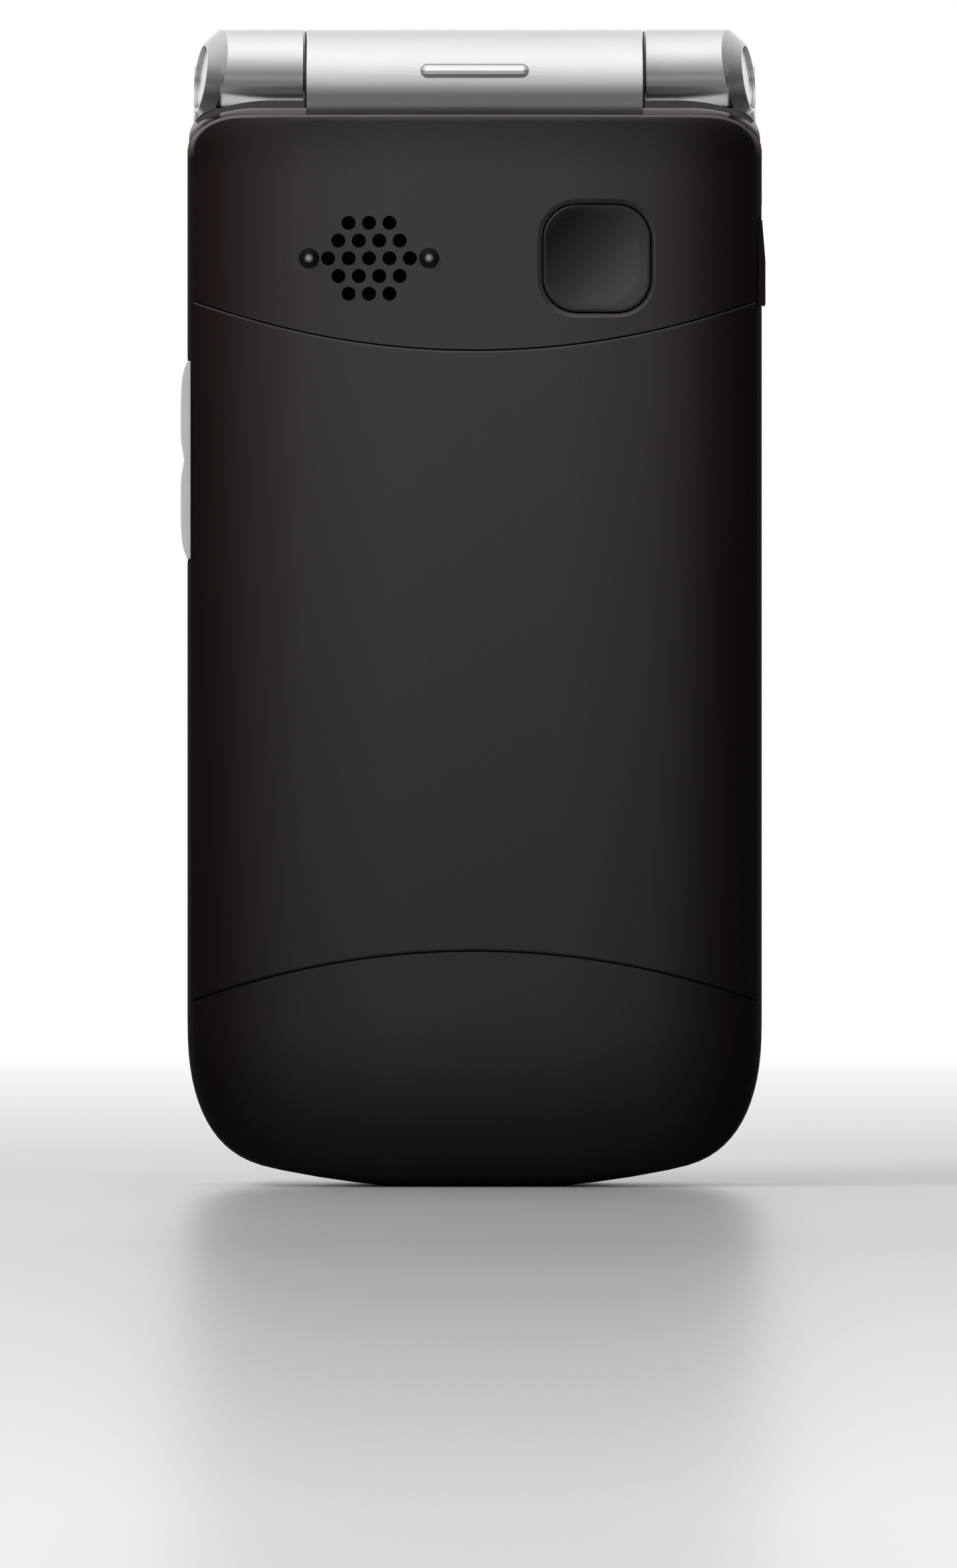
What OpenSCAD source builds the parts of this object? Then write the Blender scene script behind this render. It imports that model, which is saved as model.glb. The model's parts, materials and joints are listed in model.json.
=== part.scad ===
// Clamshell phone, shut and standing on its lower end with the hinge at the top.
// X runs across the phone, Y through its thickness and Z along its length, in millimetres.
// The keypad half has its back towards -Y, and the lid half lies on the +Y side.

/* [Body] */
// Width across the rear housing
body_w = 52; // [50:0.5:58]
// Length of the keypad half, from its foot to the edge of its saddle
body_l = 98; // [94:0.5:110]
// Thickness of the keypad half
base_t = 11; // [10.8:0.1:13]
// Thickness of the lid half
flip_t = 7.6; // [7.4:0.1:10]
// Gap between the shut halves
fold_gap = 0.4; // [0.36:0.02:0.6]
// Width of the flat foot at the lower end
foot_w = 15; // [12:1:18]
// Radius of the lower edge
bottom_r = 86; // [80:1:140]
// Width of each lower corner
corner_w = 8.5; // [7:0.5:10]
// Height of each lower corner
corner_h = 11.5; // [9:0.5:14]
// Width of each upper corner
top_corner_w = 4.6; // [3:0.2:6]
// Height of each upper corner
top_corner_h = 3.2; // [2:0.2:4]

/* [Rear housing] */
// Wall of the rear housing
back_wall = 1.6; // [1.4:0.1:2]
// How far the rounded side edge reaches in across the back
edge_w = 8; // [6:0.5:10]
// Depth of the rounded edge, from the highest line of the back
edge_depth = 6.2; // [5.8:0.1:6.6]
// How far the rounding of the lower end reaches up the back
end_round = 16; // [10:0.5:20]
// How far the rounding of the upper end reaches down the back
top_round = 0.8; // [0.6:0.1:3]
// Rise of the back's middle over its sides
crown = 1.2; // [0.6:0.1:1.4]
// Height of the silver saddle strip above the rear housing
lip_h = 1.1; // [0.8:0.1:1.6]

/* [Battery cover] */
// Thickness of the battery cover
cover_t = 1.1; // [0.9:0.05:1.2]
// Clearance round the battery cover
cover_gap = 0.12; // [0.1:0.01:0.2]
// Depth of the cover's side edges below the back
cover_depth = 4.4; // [4:0.1:4.6]
// Radius of both curved seams
seam_r = 73; // [60:1:100]
// Middle of the upper seam, below the saddle's edge
seam_drop = 22.5; // [21:0.5:26]
// Middle of the lower seam, above the foot
seam_lo = 21.3; // [20:0.1:24]
// Ledge under the cover's curved edges
ledge = 1.2; // [0.8:0.1:1.6]

/* [Front case] */
// Height of the silver band round the sides
band_h = 2.1; // [1.9:0.1:2.3]
// How far the band stands back from the rear housing
band_inset = 0.15; // [0.05:0.05:0.3]
// Wall of the front case
front_wall = 1.4; // [1.2:0.1:1.8]
// Thickness of the keypad plate
plate_t = 1; // [0.9:0.05:1.2]
// Thickness of the keypad fascia let into the plate
fascia_t = 0.4; // [0.3:0.05:0.5]
// Margin of the fascia inside the outline
fascia_inset = 3; // [2.6:0.1:3.4]

/* [Hinge] */
// Diameter of the outer knuckles
knuckle_d = 8.6; // [8:0.2:9]
// Height of the hinge axis above the saddle's edge
hinge_rise = 2.7; // [2.5:0.1:3.2]
// Radius of the saddle's back, which the centre barrel shares
saddle_r = 6.4; // [6:0.1:6.8]
// Length of the centre barrel
barrel_l = 30.4; // [28:0.2:32]
// Gap between the barrel and each knuckle
knuckle_gap = 0.35; // [0.2:0.05:0.4]
// Room round the knuckles in the saddle
run_gap = 0.3; // [0.25:0.05:0.4]
// Height of the slit between the saddle and the knuckles
slit_h = 0.5; // [0.3:0.05:0.6]
// Diameter of the barrel's bore
bore_d = 5.2; // [4.8:0.1:5.4]
// Diameter of the drive shaft
shaft_d = 2.6; // [2.2:0.1:2.8]
// Diameter of the hollow pivot sleeve
sleeve_d = 3.2; // [3:0.1:3.4]
// Bore of the pivot sleeve
sleeve_bore = 1.9; // [1.5:0.1:2.2]
// Diameter of the end caps
cap_d = 5.5; // [5:0.1:6]
// Thickness of the end caps
cap_t = 0.6; // [0.5:0.05:0.8]
// Depth of the end caps below the knuckle ends
cap_sink = 0.3; // [0.1:0.05:0.4]
// Flat rim round the end caps
cap_rim = 0.35; // [0.25:0.05:0.4]
// Slope of the bevel round the knuckle ends, in degrees
bevel_slope = 41; // [36:1:46]
// Turn of the knuckle ends towards the back, in degrees
end_turn = 12; // [8:1:14]
// Lean of the knuckle ends, in degrees
end_lean = 7; // [0:1:9]
// Length of the indicator
pill_l = 9.7; // [7:0.1:12]
// Height of the indicator
pill_h = 1.15; // [0.9:0.05:1.5]

/* [Grille and emergency key] */
// Line of the grille, key and port, below the saddle's edge
feature_drop = 14.3; // [14:0.1:15]
// Middle of the grille across the phone
grille_x = -9.5; // [-11:0.1:-9]
// Diameter of a grille hole
hole_d = 1.27; // [0.9:0.01:1.4]
// Spacing of the grille holes
hole_pitch = 1.84; // [1.7:0.01:1.95]
// Distance of each nub from the grille's middle
nub_reach = 5.41; // [5.2:0.01:5.8]
// Diameter of a nub
nub_d = 1.73; // [1.4:0.01:1.8]
// Height of a nub
nub_h = 0.35; // [0.2:0.05:0.5]
// Middle of the emergency key across the phone
sos_x = 11; // [10:0.1:12]
// Width of the emergency key
sos_w = 9.6; // [9:0.1:10]
// Corner radius of the emergency key
sos_r = 3; // [2:0.1:4]
// Depth of the dish in the emergency key
sos_dish = 0.9; // [0.3:0.05:1]
// Width of the rim round the dish
sos_rim = 0.25; // [0.2:0.05:0.5]
// Travel of the emergency key
sos_travel = 0.5; // [0.3:0.05:0.6]
// Width of the groove round the emergency key
groove_w = 0.4; // [0.2:0.05:0.5]
// Depth of the groove round the emergency key
groove_depth = 0.35; // [0.2:0.05:0.5]

/* [Side controls] */
// Length of the volume rocker
rocker_l = 17.9; // [15:0.1:20]
// Width of the volume rocker
rocker_w = 2.4; // [2:0.1:2.6]
// How far the rocker stands out of the side
rocker_proud = 0.6; // [0.4:0.05:0.8]
// Width of the port flap
flap_w = 2.8; // [2.6:0.1:3]
// How far the flap stands out of the side
flap_proud = 0.3; // [0.15:0.05:0.4]
// Width of the charging socket
usb_w = 7.4; // [7:0.1:7.6]
// Height of the charging socket
usb_h = 2.5; // [2.4:0.1:2.6]

/* [Keypad] */
// Space between the number keys across
key_space = 1.8; // [1.4:0.1:2.6]
// Space between the rows of number keys
row_space = 2.5; // [1.6:0.1:3.5]
// Lower edge of the number keys above the foot
keys_low = 8.5; // [8:0.1:10]
// Space between the number keys and the keys above them
block_space = 3.4; // [2:0.1:5]
// Middle of the navigation key below the saddle's edge
nav_drop = 27; // [25:0.1:28]
// Width of the navigation key
nav_w = 16; // [15:0.1:16.4]
// Width of the OK key
ok_w = 7.4; // [6:0.1:8]
// Space between the navigation key and the keys beside it
side_space = 1.9; // [1.4:0.1:2.4]
// Margin outside the keys beside the navigation key
side_margin = 5.5; // [5.3:0.1:7]
// Height of the keys beside the navigation key
side_key_h = 7.6; // [6.6:0.1:8]
// Clearance round a key
key_gap = 0.15; // [0.1:0.01:0.2]
// Travel of a key
key_travel = 0.35; // [0.2:0.05:0.4]
// How far a key stands over the keypad
key_proud = 0.1; // [0:0.02:0.12]

/* [Inside the keypad half] */
// Thickness of the circuit boards
board_t = 1; // [0.8:0.1:1.1]
// Thickness of the keymat
mat_t = 0.4; // [0.3:0.05:0.5]
// From the phone's side to the battery
battery_margin = 9; // [8.8:0.1:11]
// Room for the contacts and the card above the battery
card_room = 12.8; // [12.4:0.1:15]
// Floor of the battery bay
floor_t = 0.8; // [0.6:0.1:0.9]
// Screw diameter
screw_d = 1.4; // [1.2:0.1:1.5]

/* [Lid] */
// How far the lid's sides stand back from the rear housing
flip_inset = 0.3; // [0.2:0.05:0.6]
// Wall of the lid's case
flip_wall = 1.3; // [1.2:0.1:1.6]
// Depth of the rounded edge of the lid
flip_edge = 3.2; // [2.4:0.1:3.6]
// How far the rounded edge of the lid reaches in
flip_edge_w = 3.5; // [2.5:0.1:3.8]
// Margin beside the front panel
panel_margin = 5.2; // [4.6:0.1:7]
// Lower edge of the front panel above the foot
panel_low = 9; // [8:0.5:14]
// Upper edge of the front panel below the lid's top
panel_drop = 12.4; // [11:0.1:16]
// Thickness of the front panel
panel_t = 0.7; // [0.5:0.05:0.8]
// Margin beside the display lens
lens_margin = 5.2; // [4.8:0.1:7]
// Lower edge of the display lens above the foot
lens_low = 20; // [19:0.5:24]
// Upper edge of the display lens below the lid's inner top
lens_drop = 16.8; // [15:0.1:20]
// Thickness of the display lens
lens_t = 0.7; // [0.5:0.05:0.8]
// Thickness of the lid's inner case
inner_t = 1.2; // [1.1:0.05:1.4]
// Thickness of the main display
display_t = 2.2; // [1.8:0.1:2.3]

/* [Hidden] */
$fn = 48;

// Clearance of a seated piece
seat_gap = 0.05;
// Clearance of a turning fit
run_fit = 0.03;
// Overshoot of a cut past the face it opens
cut = 1;
// A length past the whole phone
far = 2 * body_l;

// Layers through the thickness, from the back to the lid's outer face
half_w = body_w / 2;
y_back = -(base_t + fold_gap + flip_t) / 2;
y_edge = y_back + edge_depth;
y_cover = y_back + cover_depth;
y_base = y_back + base_t;
y_part = y_base - band_h;
y_flip = y_base + fold_gap;
y_outer = y_flip + flip_t;

// Layers under the keypad plate
flange_t = 0.5;
flange_lip = 0.3;
mat_gap = 0.05;
part_room = 0.9;
y_plate = y_base - plate_t;
y_flange = y_plate - 2 * seat_gap;
y_key_back = y_flange - flange_t;
y_mat = y_key_back - key_travel - mat_gap;
y_board = y_mat - mat_t;
y_board_back = y_board - board_t;
y_floor = y_board_back - part_room;
y_bay = y_floor - floor_t;
y_key_top = y_base + key_proud;

// Heights along the phone
rear_l = body_l - lip_h;
mid_z = rear_l / 2;
seam_hi = body_l - seam_drop;
feature_z = body_l - feature_drop;
nav_z = body_l - nav_drop;
foot_sag = pow(foot_w / 2, 2) / (2 * bottom_r);

// Hinge axis and saddle
knuckle_r = knuckle_d / 2;
bore_r = bore_d / 2;
barrel_x = barrel_l / 2;
knuckle_x = barrel_x + knuckle_gap;
hinge_y = y_base + fold_gap / 2;
hinge_z = body_l + hinge_rise;
saddle_z = hinge_z + knuckle_r - saddle_r;

// Points of an elliptical arc
function arc(cx, cy, rx, ry, a0, a1, n) =
    [for (i = [0 : n]) let (a = a0 + (a1 - a0) * i / n) [cx + rx * cos(a), cy + ry * sin(a)]];

// Points of a rounded rectangle about the origin
function rounded(w, h, r, n = 6) = concat(
    arc(w / 2 - r, h / 2 - r, r, r, 0, 90, n),
    arc(r - w / 2, h / 2 - r, r, r, 90, 180, n),
    arc(r - w / 2, r - h / 2, r, r, 180, 270, n),
    arc(w / 2 - r, r - h / 2, r, r, 270, 360, n));

// Height of the lower edge at x
function lower_edge(x) = x * x / (2 * bottom_r) - foot_sag;

// Right half of the phone's outline, from the foot up to the end of the upper corner
function half_outline(hw, z0, zt, tw, th, n = 16) = concat(
    [for (i = [0 : 3]) let (x = foot_w / 2 + (hw - corner_w - foot_w / 2) * i / 3)
        [x, z0 + lower_edge(x)]],
    [for (i = [1 : n]) let (a = 90 * i / n, x = hw - corner_w * (1 - pow(sin(a), 2 / 3)))
        [x, z0 + lower_edge(x) + corner_h * (1 - pow(cos(a), 0.8))]],
    arc(hw - tw, zt - th, tw, th, 0, 90, n / 2));

// Whole outline, inset all round
function outline(inset, zt, tw = top_corner_w, th = top_corner_h) =
    let (h = half_outline(half_w - inset, inset, zt, tw, th))
    concat(h, [for (i = [len(h) - 1 : -1 : 0]) [-h[i][0], h[i][1]]]);

// Depth of the back at x, away from its rounded edges
function back_y(x) = y_back + crown * pow(x / half_w, 2);

// Extrusions of a drawing in XZ along Y, and of a drawing in YZ along X
module along_y(y0, y1) translate([0, y1, 0]) rotate([90, 0, 0]) linear_extrude(y1 - y0) children();
module along_x(x0, x1) translate([x0, 0, 0]) rotate([90, 0, 90]) linear_extrude(x1 - x0) children();

// Cylinders along X and Y
module rod_x(x0, x1, y, z, r) translate([x0, y, z]) rotate([0, 90, 0]) cylinder(r = r, h = x1 - x0);
module rod_y(y0, y1, x, z, r) translate([x, y1, z]) rotate([90, 0, 0]) cylinder(r = r, h = y1 - y0);

// Box between two corners
module box(a, b) translate(a) cube(b - a);

// Rounded plate in XZ at a place
module plate(x, z, w, h, r, y0, y1) along_y(y0, y1) translate([x, z]) polygon(rounded(w, h, r));

// Mirrored pair across the phone
module both_sides() {
    children();
    mirror([1, 0, 0]) children();
}

// Pillow form: a straight rim, then an edge rounded in over its reach to a crowned face.
// half is the right half of its outline, and m the number of columns across the face.
module pillow(half, hw, zm, y_rim, y_side, y_face, reach, rise, steps = 8, m = 8) {
    s = sign(y_face - y_side);
    n = len(half);
    depth = abs(y_face - y_side) - rise;
    z_low = half[0][1];
    z_top = half[n - 1][1];
    loop = 2 * (n + m - 1);
    last = (steps + 1) * loop;
    inner = last + loop;
    function drawn_in(p, f) = [
        p[0] * (1 - f * reach[0] / hw),
        zm + (p[1] - zm) * (1 - f * (p[1] < zm ? reach[1] / (zm - z_low) : reach[2] / (z_top - zm)))
    ];
    function ring(f) = let (h = [for (p = half) drawn_in(p, f)]) concat(
        h,
        [for (j = [1 : m - 1]) [h[n - 1][0] * (1 - 2 * j / m), h[n - 1][1]]],
        [for (i = [n - 1 : -1 : 0]) [-h[i][0], h[i][1]]],
        [for (j = [1 : m - 1]) [h[0][0] * (2 * j / m - 1), h[0][1]]]);
    function face_y(x, a) = y_side + s * sin(a) * (depth + rise * (1 - pow(x / hw, 2)));
    function turned(f) = s > 0 ? f : [for (i = [len(f) - 1 : -1 : 0]) f[i]];
    function corner(i, j) =
        j == 0 ? last + i :
        j == m ? last + 2 * n + m - 2 - i :
        i == n - 1 ? last + n + j - 1 :
        i == 0 ? last + 2 * n + 2 * (m - 1) - j :
        inner + (i - 1) * (m - 1) + j - 1;
    face = [for (p = half) drawn_in(p, 1)];
    points = concat(
        [for (p = ring(0)) [p[0], y_rim, p[1]]],
        [for (k = [0 : steps]) let (a = 90 * k / steps)
            for (p = ring(1 - cos(a))) [p[0], face_y(p[0], a), p[1]]],
        [for (i = [1 : n - 2]) for (j = [1 : m - 1]) let (x = face[i][0] * (1 - 2 * j / m))
            [x, face_y(x, 90), face[i][1]]]);
    walls = [for (k = [0 : steps]) for (i = [0 : loop - 1])
        let (a = k * loop + i, b = k * loop + (i + 1) % loop)
        for (f = [[a, b, b + loop], [a, b + loop, a + loop]]) turned(f)];
    grid = [for (i = [0 : n - 2]) for (j = [0 : m - 1])
        let (a = corner(i, j), b = corner(i + 1, j), c = corner(i + 1, j + 1), d = corner(i, j + 1))
        for (f = [[a, b, c], [a, c, d]]) turned(f)];
    left = 2 * n + m - 2;
    rim = concat(
        [turned(concat([1, 0], [for (j = [m - 2 : -1 : 0]) left + 1 + j], [left, left - 1]))],
        [for (i = [1 : n - 3]) turned([left - i, left - i - 1, i + 1, i])],
        [turned(concat([left - n + 2, left - n + 1], [for (j = [m - 2 : -1 : 0]) n + j], [n - 1, n - 2]))]);
    polyhedron(points = points, faces = concat(walls, grid, rim));
}

// Form of the keypad half's back, t in from its outer surface
module back_form(t, y_rim, steps = 8) {
    hw = half_w - t;
    half = half_outline(hw, t, rear_l - t, top_corner_w, top_corner_h, 2 * steps);
    top_reach = top_round * (1 - t / edge_depth);
    pillow(half, hw, mid_z, y_rim, y_edge, y_back + t,
        [edge_w - t, end_round - t, top_reach], crown, steps);
}

// Circles of the two seams, which bound the battery cover
module upper_end(r) rod_y(-far, far, 0, seam_hi + seam_r, r);
module lower_end(r) rod_y(-far, far, 0, seam_lo - seam_r, r);

// Rise of a seam's end at x over its middle
function seam_rise(x) = seam_r - sqrt(seam_r * seam_r - x * x);

// Battery bay, and the screws at the corners of the cover
bay_gap = 0.5;
battery_w = 2 * (half_w - battery_margin);
bay_x = battery_w / 2 + bay_gap;
bay_z0 = seam_lo + ledge;
bay_z1 = seam_hi - ledge;
rail_wall = 1;
bulkhead = 1;
screw_x = half_w - 3.5;
screw_in = 1.76;
screw_lo = seam_lo - seam_rise(screw_x) + screw_in;
screw_hi = seam_hi + seam_rise(screw_x) - screw_in;
screw_r = screw_d / 2;
screw_head_r = 1.25;
screw_head_h = 0.7;
screw_depth = 5.1;
y_screw = y_back + screw_depth;
boss_r = 1.3;
boss_gap = 0.1;
y_boss = y_floor + seat_gap;
module at_base_screws() both_sides() for (z = [screw_lo, screw_hi]) translate([screw_x, 0, z]) children();

// Grille holes in five rows
module at_grille() {
    row_pitch = hole_pitch * sin(60);
    for (row = [-2 : 2], k = [0 : 4 - abs(row)]) {
        dx = (k - (4 - abs(row)) / 2) * hole_pitch;
        translate([grille_x + dx, 0, feature_z + row * row_pitch]) children();
    }
}

// Nub seats
nub_peg_r = 0.5;
nub_peg = 1;
nub_sink = 0.15;
nub_places = [grille_x - nub_reach, grille_x + nub_reach];

// Emergency key
sos_gap = 0.15;
sos_sink = 0.05;
sos_flange_t = 0.6;
sos_lip = 0.8;
y_sos_flange = back_y(sos_x + sos_w / 2 + sos_lip) + back_wall + 0.2;
y_sos_back = y_sos_flange + sos_flange_t;
sos_stem_r = 1.6;
sos_switch_w = 6;
sos_stem = 0.7;
module sos_prism(grow, y0, y1)
    plate(sos_x, feature_z, sos_w + 2 * grow, sos_w + 2 * grow, sos_r + grow, y0, y1);

// Charging port and its flap on the right side
y_port = y_board_back - usb_h / 2;
usb_l = 5.2;
usb_recess = 2.2;
usb_x = half_w - usb_recess;
port_gap = 0.2;
flap_gap = 0.15;
flap_t = 1;
flap_x = half_w - flap_t;
flap_end_z = feature_z - usb_w / 2 - 0.3;
flap_top_z = feature_z + usb_w / 2;
pivot_x = half_w - 0.6;
pivot_z = flap_top_z + 0.8;
flap_barrel_r = 0.55;
flap_barrel_w = 1.2;
barrel_room = 0.3;
pin_r = 0.25;
pin_l = flap_barrel_w + 2 * (flap_gap + 0.45);
module flap_plate(grow) polygon([
    [flap_x - grow, flap_end_z - grow], [half_w + flap_proud + grow, flap_end_z - grow],
    [half_w + flap_proud + grow, feature_z], [half_w + grow, flap_top_z + grow],
    [flap_x - grow, flap_top_z + grow]]);
module flap_arm(grow) {
    translate([pivot_x, pivot_z]) circle(r = flap_barrel_r + grow);
    translate([pivot_x - flap_barrel_r - grow, flap_top_z - 0.5])
        square([2 * (flap_barrel_r + grow), pivot_z - flap_top_z + 0.5]);
}

// Volume rocker on the left side
rocker_gap = 0.25;
rocker_lip = 0.8;
rocker_z = screw_hi - boss_r - 0.55 - rocker_lip - rocker_l / 2;
rocker_flange = 0.7;
rocker_play = 0.4;
rocker_in = half_w - back_wall - rocker_play;
rocker_waist = 0.3;
switch_gap = 0.45;
side_switch_l = 4.4;
side_switch_t = 2.6;
side_switch_x = -rocker_in + rocker_flange + switch_gap;

// Keys: x, z, width, height and corner radius. The user's left is on the +X side.
number_r = 2.2;
side_key_w = half_w - side_margin - nav_w / 2 - side_space;
side_key_x = half_w - side_margin - side_key_w / 2;
side_key_rise = nav_w / 2 - 1.8;
key_boss_gap = 0.2;
keys_x = screw_x - boss_r - key_boss_gap - flange_lip;
keys_high = nav_z - side_key_rise - side_key_h / 2 - block_space;
key_w = (2 * keys_x - 2 * key_space) / 3;
key_h = (keys_high - keys_low - 3 * row_space) / 4;
key_pitch_x = key_w + key_space;
key_pitch_z = key_h + row_space;
key_row = keys_low + key_h / 2;
number_keys = [for (row = [0 : 3], col = [0 : 2])
    [(1 - col) * key_pitch_x, key_row + (3 - row) * key_pitch_z, key_w, key_h, number_r]];
side_keys = [for (dz = [side_key_rise, -side_key_rise], side = [1, -1])
    [side * side_key_x, nav_z + dz, side_key_w, side_key_h, number_r]];
nav_r = 5;
nav_low = 0.35;
nav_tab = 0.7;
nav_tab_h = 3;
nav_sink = 0.1;
ok_r = 2.6;
module key_prism(k, grow, y0, y1) plate(k[0], k[1], k[2] + 2 * grow, k[3] + 2 * grow, k[4] + grow, y0, y1);
module key_openings(y0, y1) {
    for (k = concat(number_keys, side_keys)) key_prism(k, key_gap, y0, y1);
    plate(0, nav_z, nav_w + 2 * key_gap, nav_w + 2 * key_gap, nav_r + key_gap, y0, y1);
}

// Fascia, board and microphone places
fascia_drop = 7;
fascia_top = body_l - fascia_drop;
board_inset = 3.4;
board_drop = 6.6;
board_top = body_l - board_drop;
mic_z = 5.6;
mic_hole = 0.6;

// Flexible lead between the halves
flex_x0 = 0;
flex_x1 = 5;
flex_t = 0.25;
flex_y = y_board + 0.5;
flex_r = bore_r - 0.4;
flex_slot = 0.35;

// Sides of the knuckle ends
knuckle_end = half_w - 0.4;
bevel_reach = knuckle_end - knuckle_x + knuckle_d;
cap_x = half_w - 1.05;
shaft_hold = 5.5;
shaft_reach = 7;
sleeve_reach = 6;

// Drawings of the hinge in YZ
function saddle_arc(a0, a1, n) = arc(hinge_y, saddle_z, saddle_r, saddle_r, a0, a1, n);
saddle_end = 360 - acos((y_base - hinge_y) / saddle_r);
knuckle_start = -acos((y_base - hinge_y) / knuckle_r);
saddle_start = 180 + asin((saddle_z - body_l) / saddle_r);
barrel_drawing = concat(
    saddle_arc(90, saddle_end, 44),
    arc(hinge_y, hinge_z, knuckle_r, knuckle_r, knuckle_start, 89, 40));
saddle_drawing = concat(saddle_arc(saddle_start, saddle_end, 24), [[y_base, body_l]]);
module pill(grow, y0, y1)
    plate(0, hinge_z + 0.2, pill_l + 2 * grow, pill_h + 2 * grow, pill_h / 2 + grow, y0, y1);
pill_depth = 1.6;
y_pill = hinge_y - saddle_r + pill_depth;

// Rear housing of the keypad half
module base_rear_housing() color("#231f1e") difference() {
    union() {
        difference() {
            back_form(0, y_part);
            rear_cavities();
            cover_recess();
            rod_x(-far, far, hinge_y, saddle_z, saddle_r + 2 * seat_gap);
        }
        port_surround();
    }
    at_base_screws() {
        rod_y(y_back - cut, y_screw, 0, 0, screw_head_r + boss_gap);
        rod_y(y_back, y_part, 0, 0, screw_r + seat_gap);
    }
    at_grille() rod_y(y_back - cut, y_back + back_wall + 2 * cut, 0, 0, hole_d / 2);
    for (x = nub_places) {
        rod_y(y_back - cut, back_y(x) + nub_sink, x, feature_z, nub_d / 2 + seat_gap);
        rod_y(y_back - cut, back_y(x) + nub_sink + nub_peg + seat_gap, x, feature_z, nub_peg_r + seat_gap);
    }
    sos_prism(sos_gap, y_back - cut, y_sos_flange);
    difference() {
        sos_prism(sos_gap + groove_w, y_back - cut, y_back + back_wall);
        back_form(groove_depth, y_part, 6);
    }
    port_cuts();
    rocker_room(-far, -rocker_in, 0);
    rocker_room(-half_w + back_wall, side_switch_x + side_switch_t + rocker_gap, rocker_lip);
}

// Slot of the rocker, and the room of its flange
module rocker_room(x0, x1, lip) {
    w = rocker_w / 2 + rocker_gap;
    l = rocker_l / 2 + rocker_gap + lip;
    box([x0, y_port - w, rocker_z - l], [x1, y_port + w, rocker_z + l]);
}

// Rooms inside the rear housing: two ends, the board's room, the battery bay and the side pockets
module rear_cavities() {
    intersection() {
        back_form(back_wall, y_part + cut, 6);
        union() {
            upper_end(seam_r - bulkhead);
            lower_end(seam_r - bulkhead);
            box([-far, y_floor, -far], [far, far, far]);
        }
    }
    box([-bay_x, y_back - cut, bay_z0], [bay_x, y_bay, bay_z1]);
    intersection() {
        back_form(cover_t + cover_gap + rail_wall, y_part + cut, 6);
        both_sides() box([bay_x + rail_wall, y_back, bay_z0], [half_w, y_floor + cut, bay_z1]);
    }
}

// Room for the battery cover on the rear housing
module cover_recess() difference() {
    box([-far, -far, -far], [far, y_cover, far]);
    upper_end(seam_r);
    lower_end(seam_r);
    back_form(cover_t + cover_gap, y_part, 6);
}

// Thick frame behind the port, inside the side wall and clear of the screw boss
module port_surround() difference() {
    intersection() {
        back_form(back_wall / 2, y_part, 6);
        box([half_w - board_inset + 0.2, y_cover, flap_end_z - cut],
            [half_w, y_port + flap_w / 2 + 0.5, pivot_z + flap_barrel_r + cut]);
    }
    at_base_screws() rod_y(y_floor, y_part, 0, 0, boss_r + seat_gap);
}

// Seat of the flap, its pin holes and the way to the socket
module port_cuts() {
    along_y(y_port - flap_w / 2 - flap_gap, y_port + flap_w / 2 + flap_gap) flap_plate(flap_gap);
    arm_w = flap_barrel_w / 2 + flap_gap;
    along_y(y_port - arm_w, y_port + arm_w) flap_arm(barrel_room);
    rod_y(y_port - pin_l / 2, y_port + pin_l / 2, pivot_x, pivot_z, pin_r + run_fit);
    box([usb_x - usb_l - cut, y_port - usb_h / 2 - port_gap, feature_z - usb_w / 2 - port_gap],
        [half_w, y_port + usb_h / 2 + port_gap, feature_z + usb_w / 2 + port_gap]);
}

// Battery cover between the seams
module battery_cover() color("#262221") difference() {
    intersection() {
        back_form(0, y_part);
        box([-far, -far, -far], [far, y_cover - cover_gap, far]);
    }
    back_form(cover_t, y_part + cut, 6);
    upper_end(seam_r + cover_gap);
    lower_end(seam_r + cover_gap);
}

// Silver front case: side band, keypad plate, saddle and centre barrel
module base_front_case() color("#c4c6c8") difference() {
    union() {
        difference() {
            along_y(y_part, y_base) polygon(outline(band_inset, body_l));
            along_y(y_part - cut, y_plate) polygon(outline(band_inset + front_wall, body_l - front_wall));
        }
        intersection() {
            along_x(-half_w, half_w) polygon(saddle_drawing);
            along_y(y_back, y_base) polygon(outline(band_inset, body_l));
        }
        along_x(-barrel_x, barrel_x) polygon(barrel_drawing);
        at_base_screws() rod_y(y_boss, y_plate + seat_gap, 0, 0, boss_r);
    }
    both_sides() {
        rod_x(barrel_x, far, hinge_y, hinge_z, knuckle_r + run_gap);
        box([barrel_x, -far, body_l - slit_h], [far, hinge_y, far]);
    }
    rod_x(-far, far, hinge_y, hinge_z, bore_r);
    box([flex_x0 - flex_slot, flex_y - flex_slot, body_l - saddle_r - cut],
        [flex_x1 + flex_slot, flex_y + flex_t + flex_slot, hinge_z]);
    pill(seat_gap, y_back, y_pill);
    along_y(y_base - fascia_t, y_base + cut) polygon(outline(fascia_inset - seat_gap, fascia_top + seat_gap));
    key_openings(y_plate - cut, y_base);
    rod_y(y_plate - cut, y_base, 0, mic_z, mic_hole);
    at_base_screws() rod_y(y_boss - cut, y_plate, 0, 0, screw_r + 0.02);
}

// Black fascia round the keys
module keypad_fascia() color("#1c1c1e") difference() {
    along_y(y_base - fascia_t, y_base) polygon(outline(fascia_inset, fascia_top));
    key_openings(y_base - fascia_t - cut, y_base + cut);
    rod_y(y_base - fascia_t - cut, y_base + cut, 0, mic_z, mic_hole);
}

// Key with a flange that holds it under the plate
module flanged_key(k) color("#3a3b3f") {
    key_prism(k, 0, y_flange, y_key_top);
    key_prism(k, flange_lip, y_key_back, y_flange);
}

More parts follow.
